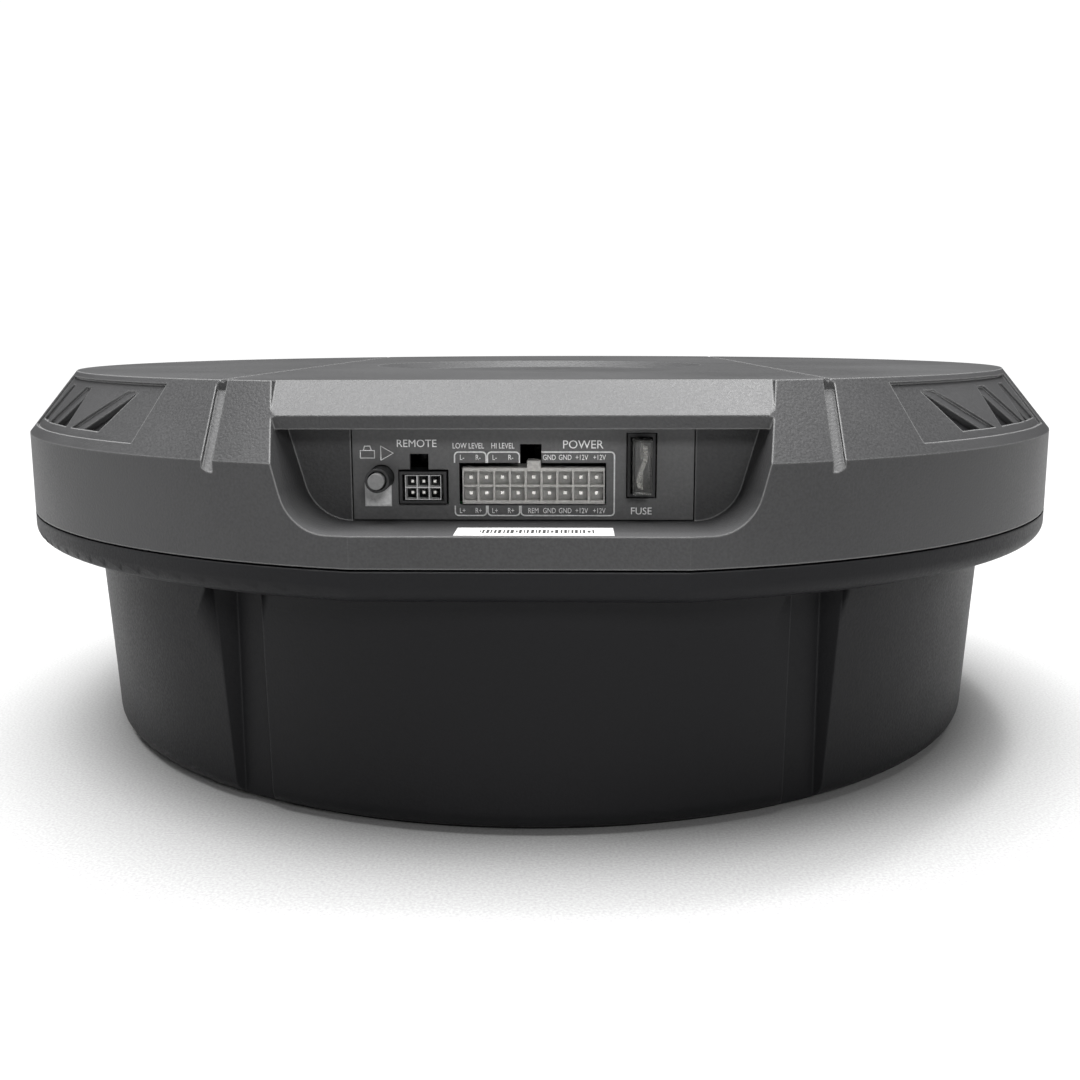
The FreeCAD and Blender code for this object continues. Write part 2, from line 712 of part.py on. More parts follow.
vent_rooms, vent_blanks = vent_shapes()
vent_spaces = plain("vent_spaces", Part.makeCompound(four_ways(vent_rooms)))
vent_inserts = plain("vent_inserts", Part.makeCompound(four_ways(vent_blanks)))

inside_shell = combined("inside_shell", "Cut", cover_cavity, recess_shell)
cover_hollow = combined("cover_hollow", "Cut", cover_outer, inside_shell)
cover_rebated = combined("cover_rebated", "Cut", cover_hollow, cover_skirt)
cover_open = combined("cover_open", "Cut", cover_rebated, recess_room)
cover_hooded = combined("cover_hooded", "Cut", cover_open, hood_room)
top_cover = combined("top_cover", "Cut", cover_hooded, vent_spaces)

# bowl: a turned wall with a stepped opening, channels pressed in from outside and a lip on top
floor_top = guard_top + bowl_wall
step_inner = step_radius - bowl_wall
bowl = turned(
    "bowl",
    [
        (bowl_radius - bowl_wall, seam),
        (rim_radius, seam),
        (rim_radius, flange_base),
        (bowl_radius, flange_base),
        (bowl_foot_radius, bowl_base),
        (guard_seat_radius, bowl_base),
        (guard_seat_radius, guard_top),
        (step_inner, guard_top),
        (step_inner, ledge_height - ledge_thick),
        (ledge_radius, ledge_height - ledge_thick),
        (ledge_radius, ledge_height),
        (step_radius, ledge_height),
        (step_radius, floor_top),
        (bowl_foot_radius - bowl_wall, floor_top),
        (bowl_radius - bowl_wall, flange_base),
    ],
)
front_cut(bowl, front_flat, flange_base - 1, seam + 1)
round_edges(bowl, 6, lambda e: level(e, bowl_base) and abs(reach(e) - bowl_foot_radius.value) < 0.1)
round_edges(bowl, 4.5, lambda e: level(e, flange_base) and reach(e) > rim_radius.value - 1)
backing = sketch(bowl, "XZ_Plane")
polygon(
    backing,
    [
        (channel_floor - bowl_wall, floor_top - 1),
        (bowl_foot_radius - bowl_wall + 1, floor_top - 1),
        (bowl_radius - bowl_wall + 1, flange_base),
        (bowl_radius - bowl_wall + 1, flange_base + 3),
        (channel_floor - bowl_wall, flange_base + 3),
    ],
)
backing_turn = feature(bowl, "Revolution", backing, ReferenceAxis=(backing, ["V_Axis"]), Angle=10.5)
backing_turn.Midplane = True
doc.recompute()
polar(bowl, [backing_turn], rib_count, "V_Axis")
channel = sketch(bowl, "XY_Plane", bowl_base)
channel_mouth = rim_radius - channel_floor
polygon(
    channel,
    [
        (channel_floor, -channel_width / 2),
        (rim_radius, -(channel_width / 2 + channel_flare * channel_mouth)),
        (rim_radius, channel_width / 2 + channel_flare * channel_mouth),
        (channel_floor, channel_width / 2),
    ],
)
channel_cut = cut(bowl, channel, bowl_depth - 0.01, reverse=True)
polar(bowl, [channel_cut], rib_count)
dee_ring(bowl, lip_radius, lip_flat, lip_thick, seam, lip_top)
flange_holes = sketch(bowl, "XY_Plane", flange_base)
circle(flange_holes, hole_x, hole_y, bolt_radius + hole_play)
flange_hole = cut(bowl, flange_holes, flange_height, reverse=True)
polar(bowl, [flange_hole], flange_screw_count)
head_wells = sketch(bowl, "XY_Plane", flange_base)
circle(head_wells, hole_x, hole_y, bolt_head + 2 * hole_play)
head_well = cut(bowl, head_wells, well_depth, reverse=True)
polar(bowl, [head_well], flange_screw_count)
driver_holes = sketch(bowl, "XY_Plane", ledge_height)
circle(driver_holes, driver_screw_circle, 0, bolt_radius + hole_play / 2)
driver_hole = cut(bowl, driver_holes, ledge_thick)
polar(bowl, [driver_hole], driver_screw_count)
guard_bosses = sketch(bowl, "XY_Plane", guard_top)
circle(guard_bosses, 0, guard_screw_circle, small_bolt + 2.5)
guard_boss = pad(bowl, guard_bosses, 9)
polar(bowl, [guard_boss], rib_count)
guard_holes = sketch(bowl, "XY_Plane", guard_top)
circle(guard_holes, 0, guard_screw_circle, small_bolt + hole_play / 2)
guard_hole = cut(bowl, guard_holes, 7, reverse=True)
polar(bowl, [guard_hole], rib_count)


# ------------------------------------------------- seals, tube and feet ----
def ring_part(label, inner, outer, low, high):
    """A named plain ring."""
    return turned(label, ring(inner, outer, low, high))


rim_gasket = body("rim_gasket")
dee_ring(rim_gasket, lip_radius, lip_flat, lip_thick, lip_top, step_height)
base_ring_outer = guard_seat_radius + 2.2 + base_ring_width
ring_part("base_ring", base_ring_outer - base_ring_width, base_ring_outer, 0, bowl_base)
hold_down_tube = turned(
    "hold_down_tube",
    [
        (bore_radius, 0),
        (tube_radius, 0),
        (tube_radius, tube_seat),
        (tube_flange_radius, tube_seat),
        (tube_flange_radius, dish_floor),
        (bore_radius, dish_floor),
    ],
)


def screws(label, spot, shank, head, head_height, seat, tip, count):
    """A ring of screws: a round head below the seat and a shank up to the tip."""
    owner = body(label)
    made = []
    for radius, low, high in ((head, seat - head_height, seat), (shank, seat, tip)):
        drawing = sketch(owner, "XY_Plane", low)
        circle(drawing, *spot, radius)
        made.append(pad(owner, drawing, high - low))
    polar(owner, made, count)
    return owner


screws(
    "flange_screws",
    (hole_x, hole_y),
    bolt_radius,
    bolt_head,
    bolt_head_height,
    flange_base + well_depth,
    seam + seam_gap + screw_bite,
    flange_screw_count,
)
screws(
    "guard_screws",
    (Size("0", 0), guard_screw_circle),
    small_bolt,
    small_head,
    small_head_height,
    guard_top - guard_thick,
    guard_top + 6,
    rib_count,
)

# --------------------------------------------------------------- woofer ----
woofer_basket = turned(
    "woofer_basket",
    [
        (roll_middle + roll_radius - 4, flange_face),
        (flange_radius, flange_face),
        (flange_radius, basket_top),
        (roll_middle + roll_radius + 1, basket_top),
        (motor_seat_radius, motor_seat),
        (magnet_bore + 2, motor_seat),
        (magnet_bore + 2, motor_seat - basket_wall),
        (motor_seat_radius - basket_wall, motor_seat - basket_wall),
        (roll_middle + roll_radius - 4, basket_top),
    ],
)
windows = sketch(woofer_basket, "XY_Plane", basket_top + 5)
window_half_width = 28
rectangle(windows, spider_radius + 13, -window_half_width, roll_middle + 2, window_half_width)
window_cut = cut(woofer_basket, windows, motor_seat, reverse=True)
polar(woofer_basket, [window_cut], basket_window_count)
turn(
    woofer_basket,
    ring(spider_radius - 5, spider_radius + 8, spider_face, spider_face + basket_wall),
)
basket_holes = sketch(woofer_basket, "XY_Plane", flange_face)
circle(basket_holes, driver_screw_circle, 0, bolt_radius + hole_play)
basket_hole = cut(woofer_basket, basket_holes, basket_flange, reverse=True)
polar(woofer_basket, [basket_hole], driver_screw_count)

driver_screws = body("driver_screws")
driver_parts = []
for radius, low, high in (
    (bolt_head, basket_top, basket_top + bolt_head_height),
    (bolt_radius, ledge_height - ledge_thick + 0.5, basket_top),
):
    drawing = sketch(driver_screws, "XY_Plane", low)
    circle(drawing, driver_screw_circle, 0, radius)
    driver_parts.append(pad(driver_screws, drawing, high - low))
polar(driver_screws, driver_parts, driver_screw_count)

woofer_gasket = ring_part("woofer_gasket", ledge_radius, flange_radius, ledge_height, flange_face)
gasket_holes = sketch(woofer_gasket, "XY_Plane", ledge_height)
circle(gasket_holes, driver_screw_circle, 0, bolt_radius + hole_play)
gasket_hole = cut(woofer_gasket, gasket_holes, gasket_thick, reverse=True)
polar(woofer_gasket, [gasket_hole], driver_screw_count)

gap_radius = former_radius + coil_thick + coil_gap
ring_part("front_plate", gap_radius, plate_radius, motor_seat, magnet_face)
ring_part("ring_magnet", magnet_bore, magnet_radius, magnet_face, yoke_face)
turned(
    "yoke_and_pole",
    [
        (tube_radius + pole_play, motor_seat),
        (coil_bore - coil_gap, motor_seat),
        (coil_bore - coil_gap, yoke_face),
        (plate_radius, yoke_face),
        (plate_radius, yoke_face + yoke_thick),
        (tube_radius + pole_play, yoke_face + yoke_thick),
    ],
)
coil_foot = coil_middle - coil_length / 2
coil_top = coil_middle + coil_length / 2
ring_part("voice_coil", former_radius, former_radius + coil_thick, coil_foot, coil_top)
cone_neck = cone_face + cone_rise
ring_part("voice_coil_former", coil_bore, former_radius, cone_neck, coil_top)
turned(
    "cone",
    [
        (coil_bore, cone_neck - cone_thick),
        (cone_edge, cone_face),
        (cone_edge, cone_face + cone_thick),
        (former_radius, cone_neck),
        (coil_bore, cone_neck),
    ],
)
cap_outer = coil_bore + 22
cap_seat = cone_neck - cone_thick - (cap_outer - coil_bore) * cone_rise / (cone_edge - coil_bore)
turned(
    "ring_dust_cap",
    [
        (tube_radius + cap_play, cap_seat - 3),
        (coil_bore, cap_seat - 4.5),
        (cap_outer, cap_seat - cone_thick),
        (cap_outer, cap_seat - 0.4),
        (coil_bore, cap_seat - 3.5),
        (tube_radius + cap_play, cap_seat - 2),
    ],
)
spider = ring_part(
    "spider", former_radius + join_gap, spider_radius, spider_face - spider_thick, spider_face
)
surround = body("surround")
roll = sketch(surround, "XZ_Plane")
half_ring(roll, roll_middle, flange_face, roll_radius, roll_radius - roll_thick)
feature(surround, "Revolution", roll, ReferenceAxis=(roll, ["V_Axis"]), Angle=360)
turn(surround, ring(cone_edge - 5, cone_edge - 0.5, flange_face - roll_thick, flange_face))
turn(
    surround,
    ring(roll_middle + roll_radius - 0.5, ledge_radius - 0.5, flange_face - roll_thick, flange_face),
)

woofer_guard = ring_part(
    "woofer_guard",
    step_inner - 3,
    guard_seat_radius - guard_play,
    guard_top - guard_thick,
    guard_top,
)
hub_inner = tube_radius + guard_play
hub_rings = (
    (hub_inner, hub_inner + guard_bar),
    (hub_inner + 6 * guard_bar, hub_inner + 7 * guard_bar),
    (hub_inner + 12 * guard_bar, hub_inner + 13 * guard_bar),
)
for inner, outer in hub_rings:
    turn(woofer_guard, ring(inner, outer, guard_top - guard_thick, guard_top))
bars = sketch(woofer_guard, "XY_Plane", guard_top - guard_thick)
rectangle(bars, -guard_bar / 2, hub_inner + 2, guard_bar / 2, step_inner)
bar = pad(woofer_guard, bars, guard_thick)
doc.recompute()
polar(woofer_guard, [bar], rib_count)
guard_bores = sketch(woofer_guard, "XY_Plane", guard_top - guard_thick)
circle(guard_bores, 0, guard_screw_circle, small_bolt + hole_play)
guard_bore = cut(woofer_guard, guard_bores, guard_thick, reverse=True)
polar(woofer_guard, [guard_bore], rib_count)


# ------------------------------------------------------ connector panel ----
def front_block(owner, x0, z0, x1, z1, front, back):
    """A block given by its outline seen from the front and its distances from the axis."""
    drawing = sketch(owner, "XZ_Plane", back)
    rectangle(drawing, x0, z0, x1, z1)
    return pad(owner, drawing, front - back)


def front_slot(owner, outlines, front, back):
    """Cuts rectangles straight through from the front to a distance from the axis."""
    drawing = sketch(owner, "XZ_Plane", front)
    for outline in outlines:
        rectangle(drawing, *outline)
    return cut(owner, drawing, front - back)


def front_rod(owner, x, z, radius, front, back):
    """A round rod that points at the front."""
    drawing = sketch(owner, "XZ_Plane", back)
    circle(drawing, x, z, radius)
    return pad(owner, drawing, front - back)


power_half = power_pitch * (power_columns / 2)
power_z0, power_z1 = board_top, board_top + power_height
row_low = power_z0 + power_height / 2 - power_pitch / 2
row_high = row_low + power_pitch
remote_z1 = board_top + remote_height
remote_x0, remote_x1 = remote_x - remote_width / 2, remote_x + remote_width / 2
remote_low = board_top + remote_height / 2 - remote_pitch / 2
remote_high = remote_low + remote_pitch
fuse_top = fuse_foot + fuse_length
fuse_x0, fuse_x1 = fuse_x - fuse_thick / 2, fuse_x + fuse_thick / 2
panel_back = panel_face - panel_thick
socket_room = 0.4  # gap round each socket in the panel
notch_reach = 6.2  # how far the power latch's notch rises over its socket
remote_notch_reach = 4.6
pin_recess = 2  # pin tips behind the face of their header
header_back = board_front - header_depth + panel_thick + 4

connector_panel = body("connector_panel")
front_block(
    connector_panel, -panel_half, window_foot + 0.3, panel_half, window_top - 0.3, panel_face, panel_back
)
power_right = power_x + power_half + socket_room
front_slot(
    connector_panel,
    [
        (power_x - power_half - 1, power_z0 - socket_room, power_right, power_z1 + 1.2),
        (remote_x0 - socket_room, board_top - socket_room, remote_x1 + socket_room, remote_z1 + socket_room),
        (fuse_x0 - 1.6, fuse_foot - 0.6, fuse_x1 + 1.6, fuse_top + 0.6),
    ],
    panel_face,
    panel_back,
)
front_slot(
    connector_panel,
    [
        (power_x - 3.6, power_z1 - 0.5, power_x + 2.1, power_z1 + notch_reach),
        (remote_x - 3.6, remote_z1 - 0.5, remote_x + 1.4, remote_z1 + remote_notch_reach),
    ],
    panel_face,
    panel_back,
)
collar_hole = sketch(connector_panel, "XZ_Plane", panel_face)
circle(collar_hole, button_x, button_z, collar_radius + 0.2)
cut(connector_panel, collar_hole, panel_thick)

power_header = body("power_header_housing")
power_front = panel_face + power_proud
front_block(
    power_header, power_x - power_half, power_z0, power_x + power_half, power_z1, power_front, header_back
)
front_block(
    power_header, power_x - 1.7, power_z1 - 0.4, power_x + 1.9, power_z1 + 1.9, power_front, power_front - 6
)
power_cells = []
for column in range(round(power_columns.value)):
    x = power_x + power_pitch * (column + 0.5) - power_half
    for row in (row_low, row_high):
        half = power_pitch / 2 - cell_wall / 2
        power_cells.append((x - half, row - half, x + half, row + half))
front_slot(power_header, power_cells, power_front, header_back + 3)

power_pins = body("power_header_pins")
for column in range(round(power_columns.value)):
    x = power_x + power_pitch * (column + 0.5) - power_half
    for row in (row_low, row_high):
        front_block(
            power_pins, x - 0.5, row - 0.5, x + 0.5, row + 0.5, power_front - pin_recess, header_back + 3
        )

remote_header = body("remote_header_housing")
front_block(remote_header, remote_x0, board_top, remote_x1, remote_z1, power_front, header_back)
front_slot(
    remote_header,
    [(remote_x0 + 0.8, board_top + 0.8, remote_x1 - 0.8, remote_z1 - 0.8)],
    power_front,
    header_back + 3,
)
remote_pins = body("remote_header_pins")
for column in (-1, 0, 1):
    for row in (remote_low, remote_high):
        x = remote_x + column * remote_pitch
        front_block(
            remote_pins, x - 0.4, row - 0.4, x + 0.4, row + 0.4, power_front - pin_recess, header_back + 3
        )

button_front = panel_face + collar_proud
button_collar = body("button_collar")
front_rod(button_collar, button_x, button_z, collar_radius, button_front, panel_back - 3)
collar_bore = sketch(button_collar, "XZ_Plane", button_front)
circle(collar_bore, button_x, button_z, button_radius + 0.35)
cut(button_collar, collar_bore, collar_proud + panel_thick + 1.5)
button_cap = body("button_cap")
front_rod(
    button_cap, button_x, button_z, button_radius, button_front + button_proud, panel_face - 1.2
)

fuse_holder = body("fuse_holder")
holder_front = panel_face - 0.6
holder_back = panel_back - 11
front_block(
    fuse_holder, fuse_x0 - 1.3, fuse_foot - 0.4, fuse_x1 + 1.3, fuse_top + 0.4, holder_front, holder_back
)
front_slot(
    fuse_holder,
    [(fuse_x0 - 0.4, fuse_foot + 0.6, fuse_x1 + 0.4, fuse_top - 0.6)],
    holder_front,
    holder_back + 1.5,
)
fuse_body = body("fuse_body")
fuse_front = panel_face + fuse_proud
front_block(fuse_body, fuse_x0, fuse_foot + 1, fuse_x1, fuse_top - 1, fuse_front, panel_face - 2)
fuse_blades = body("fuse_blades")
for z0, z1 in ((fuse_foot + 1.6, fuse_foot + 6.6), (fuse_top - 6.6, fuse_top - 1.6)):
    front_block(fuse_blades, fuse_x - 0.4, z0, fuse_x + 0.4, z1, panel_face - 2, holder_back + 2)

# ------------------------------------------------------------ amplifier ----
amp_bracket = body("amp_bracket")
bracket_sketch = sketch(amp_bracket, "XY_Plane", bracket_base)
rectangle(bracket_sketch, -bracket_half, -(board_front - 1), bracket_half, -board_back)
for x, y in hanger_spots:
    circle(bracket_sketch, x, y, bolt_radius + hole_play)
pad(amp_bracket, bracket_sketch, bracket_thick)
upright = sketch(amp_bracket, "XY_Plane", bracket_base)
rectangle(upright, -board_half, -board_back, board_half, -(board_back - bracket_thick))
pad(amp_bracket, upright, sink_height)
fin_sketch = sketch(amp_bracket, "XY_Plane", bracket_base)
fin_count, fin_thick, fin_reach = 8, 2, 9
for index in range(fin_count):
    x = -board_half + 3 + index * (2 * board_half - 8) / (fin_count - 1)
    fin_root = board_back - bracket_thick
    rectangle(fin_sketch, x, -fin_root, x + fin_thick, -(fin_root - fin_reach))
pad(amp_bracket, fin_sketch, sink_height)

bracket_screws = body("bracket_screws")
for radius, low, high in (
    (bolt_head, bracket_base - bolt_head_height, bracket_base),
    (bolt_radius, bracket_base, bracket_top + 7),
):
    drawing = sketch(bracket_screws, "XY_Plane", low)
    for x, y in hanger_spots:
        circle(drawing, x, y, radius)
    pad(bracket_screws, drawing, high - low)


def upright_rods(label, spots, radius, low, high):
    """A named set of equal round posts."""
    owner = body(label)
    drawing = sketch(owner, "XY_Plane", low)
    for x, y in spots:
        circle(drawing, x, y, radius)
    pad(owner, drawing, high - low)
    return owner


def upright_blocks(label, spots, half_x, half_y, low, high):
    """A named set of equal upright blocks."""
    owner = body(label)
    drawing = sketch(owner, "XY_Plane", low)
    for x, y in spots:
        rectangle(drawing, x - half_x, y - half_y, x + half_x, y + half_y)
    pad(owner, drawing, high - low)
    return owner


board_spots = [
    (side * (board_half - 4), -y) for side in (-1, 1) for y in (board_front - 10, board_back + 5)
]
upright_rods("board_standoffs", board_spots, 2.5, bracket_top, board_base)
amp_board = body("amp_board")
board_sketch = sketch(amp_board, "XY_Plane", board_base)
rectangle(board_sketch, -board_half, -board_front, board_half, -board_back - 1)
pad(amp_board, board_sketch, board_thick)
upright_rods("board_screws", board_spots, 2.6, board_top, board_top + 1.8)
sink_x = [-board_half + board_half * (2 * k + 1) / 4 for k in range(4)]
transistor_spots = [(x, -board_back - 2.4) for x in sink_x]
transistor_height = 16
upright_blocks("power_transistors", transistor_spots, 5, 2.3, board_top, board_top + transistor_height)
can_radius, can_height = 9, 24
can_spots = [(-30, -120), (-7, -119)]
upright_rods("reservoir_capacitors", can_spots, can_radius, board_top, board_top + can_height)
small_can_spots = [(12, -112), (20, -112), (30, -132)]
upright_rods("small_capacitors", small_can_spots, 3.2, board_top, board_top + 11)
upright_blocks("transformer_core", [(14, -126)], 9, 6, board_top, board_top + 15)
upright_blocks("speaker_output_block", [(41, -119)], 4, 6, board_top, board_top + 9)

terminal_x, terminal_y = 72.0, 119.0
speaker_terminals = upright_blocks(
    "speaker_terminals", [(terminal_x, -terminal_y)], 3.5, 3.5, basket_top, basket_top + 9
)


def lead(label, y):
    """A speaker lead: out of the output block, over a wide bend and down to the woofer."""
    owner = body(label)
    start, bend = 45.2, 14
    level_z = board_top + 4.5
    path = sketch(owner, "XZ_Plane", y)
    turn_x, foot_z = terminal_x - bend, number(basket_top) + 9.2
    centre = V(turn_x, number(level_z) - bend, 0)
    path.addGeometry(Part.LineSegment(V(start, number(level_z), 0), V(turn_x, number(level_z), 0)), False)
    whole = Part.Circle(centre, V(0, 0, 1), bend)
    path.addGeometry(Part.ArcOfCircle(whole, 0, math.pi / 2), False)
    low = V(terminal_x, foot_z, 0)
    path.addGeometry(Part.LineSegment(V(terminal_x, centre.y, 0), low), False)
    path.addConstraint(Sketcher.Constraint("Coincident", 0, 2, 1, 2))
    path.addConstraint(Sketcher.Constraint("Coincident", 1, 1, 2, 1))
    pin_point(path, 0, 1, start, level_z)
    pin_point(path, 1, 3, turn_x, level_z - bend)
    pin_point(path, 2, 2, terminal_x, basket_top + 9.2)
    section = sketch(owner, "YZ_Plane", start)
    circle(section, -y, level_z, lead_radius)
    pipe = owner.newObject("PartDesign::AdditivePipe", label + "_pipe")
    pipe.Profile = section
    pipe.Spine = (path, ["Edge1", "Edge2", "Edge3"])
    return owner


lead("speaker_lead_red", terminal_y - 2.2)
lead("speaker_lead_black", terminal_y + 2.2)

# --------------------------------------------------------------- export ----
NODES = """top_cover bowl vent_inserts rim_gasket base_ring hold_down_tube flange_screws guard_screws
woofer_basket driver_screws woofer_gasket front_plate ring_magnet yoke_and_pole voice_coil
voice_coil_former cone ring_dust_cap spider surround woofer_guard connector_panel
power_header_housing power_header_pins remote_header_housing remote_header_pins button_collar
button_cap fuse_holder fuse_body fuse_blades amp_bracket bracket_screws board_standoffs amp_board
board_screws power_transistors reservoir_capacitors small_capacitors transformer_core
speaker_output_block speaker_terminals speaker_lead_red speaker_lead_black""".split()

doc.recompute()
os.makedirs("parts", exist_ok=True)
for item in doc.Objects:
    if "Invalid" in item.State or "Error" in item.State:
        raise RuntimeError(f"{item.Label}: {item.State}")
for name in NODES:
    shape = doc.getObject(name).Shape
    if shape.isNull() or not shape.isValid() or not shape.Solids:
        raise RuntimeError(name + " has no sound solid")
    shape.exportStep(f"parts/{name}.step")
    print(name, len(shape.Solids), round(shape.Volume))
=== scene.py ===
# %% [markdown]
# A powered subwoofer for the well of a spare wheel: a bevelled cover over a dark round bowl, with a
# recess for its plugs at the front and a woofer that fires down through a guard. The solids come from
# the CAD model in metres. Here they get their finishes, and the soft and the small pieces are modelled.

# %% Load the frame
import math

import bmesh
import bpy
from mathutils import Matrix, Vector


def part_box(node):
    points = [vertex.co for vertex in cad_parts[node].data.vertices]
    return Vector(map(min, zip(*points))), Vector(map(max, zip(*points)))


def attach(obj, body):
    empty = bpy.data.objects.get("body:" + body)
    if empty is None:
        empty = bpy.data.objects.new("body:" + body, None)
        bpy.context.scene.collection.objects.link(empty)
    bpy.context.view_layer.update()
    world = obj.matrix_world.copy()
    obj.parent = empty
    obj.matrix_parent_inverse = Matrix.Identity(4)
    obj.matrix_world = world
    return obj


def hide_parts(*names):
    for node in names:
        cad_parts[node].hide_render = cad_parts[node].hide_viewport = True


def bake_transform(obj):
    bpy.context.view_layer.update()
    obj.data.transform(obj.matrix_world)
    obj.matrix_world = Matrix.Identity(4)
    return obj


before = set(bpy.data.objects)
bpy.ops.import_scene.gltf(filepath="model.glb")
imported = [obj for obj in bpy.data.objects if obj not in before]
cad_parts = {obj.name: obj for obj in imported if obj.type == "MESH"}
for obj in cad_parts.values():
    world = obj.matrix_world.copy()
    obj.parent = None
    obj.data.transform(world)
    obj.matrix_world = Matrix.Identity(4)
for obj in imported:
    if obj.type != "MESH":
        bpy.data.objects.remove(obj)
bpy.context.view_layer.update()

MM = 0.001

# %% [markdown]
# The product stands on a plain pale studio floor and is seen from a little above the front, as a
# catalogue shows it. A long lens would flatten the round rim, so the camera stands about half a metre
# from the hold-down axis with a lens of 40 mm. It could track an empty, but it is turned by the angles
# of a tripod head (heading, pitch, then roll), because those are easy to read and to correct.

# %% Camera
HEADING, PITCH, ROLL = math.radians(1.7), math.radians(-9.79), math.radians(-0.163)
camera_data = bpy.data.cameras.new("camera")
camera_data.lens = 40.23
camera_data.sensor_width = 36.0
camera_data.clip_start = 0.01
camera = bpy.data.objects.new("camera", camera_data)
bpy.context.scene.collection.objects.link(camera)
camera.location = (0.01404, -0.4732, 0.1375)
aim = Matrix.Rotation(HEADING, 4, "Z") @ Matrix.Rotation(math.pi / 2 + PITCH, 4, "X")
camera.rotation_euler = (aim @ Matrix.Rotation(ROLL, 4, "Z")).to_euler()
bpy.context.scene.camera = camera
print("camera at", tuple(camera.location))

# %% [markdown]
# A studio floor has no edge in view, because it runs far out and the room behind it is as pale. The
# display transform is set to Standard, so that a grey plastic keeps the grey that its colour states.
# The room is bright only for what the camera sees directly, and dim for the light that it gives. If it
# lit the part as well, the plastic would be pale from all sides and the lamps could not shape it.

# %% Floor and room
scene = bpy.context.scene
scene.view_settings.view_transform = "Standard"
ROOM_LIGHT, ROOM_IN_VIEW = 0.05, 1.05
world = bpy.data.worlds.new("pale_room")
scene.world = world
world.use_nodes = True
room = world.node_tree.nodes["Background"]
room.inputs["Color"].default_value = (1.0, 1.0, 1.0, 1.0)
sight = world.node_tree.nodes.new("ShaderNodeLightPath")
strength = world.node_tree.nodes.new("ShaderNodeMapRange")
strength.inputs["To Min"].default_value = ROOM_LIGHT
strength.inputs["To Max"].default_value = ROOM_IN_VIEW
world.node_tree.links.new(sight.outputs["Is Camera Ray"], strength.inputs["Value"])
world.node_tree.links.new(strength.outputs["Result"], room.inputs["Strength"])


def linked(mesh, name):
    """Makes an object of a mesh and puts it in the scene."""
    made = bpy.data.objects.new(name, mesh)
    scene.collection.objects.link(made)
    return made


def finished(work, name):
    """Turns a bmesh into an object at the origin, its place in its mesh."""
    mesh = bpy.data.meshes.new(name)
    work.to_mesh(mesh)
    work.free()
    return linked(mesh, name)


FLOOR_REACH = 6.0
work = bmesh.new()
bmesh.ops.create_grid(work, x_segments=8, y_segments=8, size=FLOOR_REACH)
floor = finished(work, "studio_floor")
print("floor is", 2 * FLOOR_REACH, "m wide")

# %% [markdown]
# Black plastic only shows its shape by what it mirrors. A very wide sun overhead acts as a ceiling of
# soft boxes: it lights the top and the bevel evenly and leaves the upright walls dark. A weak area lamp
# from the left lifts the left end of the rim, one from the front reaches into the recess, and a small
# one high behind the right side puts a glint on the slope of the hood.


# %% Lights
def lamp(name, kind, place, target, power, **settings):
    """A lamp that faces a target."""
    data = bpy.data.lights.new(name, kind)
    data.energy = power
    for key, value in settings.items():
        setattr(data, key, value)
    made = bpy.data.objects.new(name, data)
    scene.collection.objects.link(made)
    made.location = place
    made.rotation_euler = (Vector(target) - Vector(place)).to_track_quat("-Z", "Y").to_euler()
    return made


middle_of_part = (0, 0, 0.08)
hood_of_part = (0.06, -0.16, 0.12)
lamp("ceiling", "SUN", (-0.15, 0.08, 2.0), middle_of_part, 9.2, angle=math.radians(56))
for name, place, target, power, width, height in (
    ("left_box", (-1.2, -0.35, 0.35), middle_of_part, 1.0, 0.5, 0.5),
    ("front_box", (0.35, -1.5, 0.75), middle_of_part, 9.0, 0.5, 0.3),
    ("glint", (0.42, 0.26, 1.5), hood_of_part, 9.0, 0.16, 0.16),
):
    lamp(name, "AREA", place, target, power, shape="RECTANGLE", size=width, size_y=height)

# %% [markdown]
# A finish is a small graph of nodes. These helpers add a node, join two sockets, and make the three
# things that every finish needs: noise, a value stretched into a new range, and a colour between two.
# All noise is read in Object coordinates, so a pattern has the same size in metres on every piece. The
# Mix node names its sockets alike for every type of data, so its colour sockets go by their number.

# %% Node helpers
MIX_FACTOR, MIX_A, MIX_B, MIX_RESULT = 0, 6, 7, 2


def finish(name, colour, rough, **extra):
    """A new material and its main shader; what is the same all over is set on the shader itself."""
    made = bpy.data.materials.new(name)
    made.use_nodes = True
    shader = made.node_tree.nodes["Principled BSDF"]
    shader.inputs["Base Color"].default_value = (*colour, 1.0)
    shader.inputs["Roughness"].default_value = rough
    for socket, value in extra.items():
        shader.inputs[socket.replace("_", " ")].default_value = value
    return made, shader


def node(material, kind, **settings):
    """Adds one node and sets its properties."""
    made = material.node_tree.nodes.new("ShaderNode" + kind)
    for key, value in settings.items():
        if key in made.inputs:
            made.inputs[key].default_value = value
        else:
            setattr(made, key, value)
    return made


def wire(material, source, target):
    """Joins two sockets."""
    material.node_tree.links.new(source, target)


# %% Patterns
def noise(material, scale, detail=3.0, stretch=(1, 1, 1)):
    """Noise over the object's own coordinates; scale is in cycles per metre."""
    place = node(material, "TexCoord")
    mapping = node(material, "Mapping")
    mapping.inputs["Scale"].default_value = stretch
    wire(material, place.outputs["Object"], mapping.inputs["Vector"])
    made = node(material, "TexNoise")
    made.inputs["Scale"].default_value = scale
    made.inputs["Detail"].default_value = detail
    wire(material, mapping.outputs["Vector"], made.inputs["Vector"])
    return made.outputs["Fac"]


def remap(material, value, low, high, from_low=0.3, from_high=0.7):
    """Stretches a value into a new range."""
    made = node(material, "MapRange")
    for key, number in (
        ("From Min", from_low),
        ("From Max", from_high),
        ("To Min", low),
        ("To Max", high),
    ):
        made.inputs[key].default_value = number
    wire(material, value, made.inputs["Value"])
    return made.outputs["Result"]


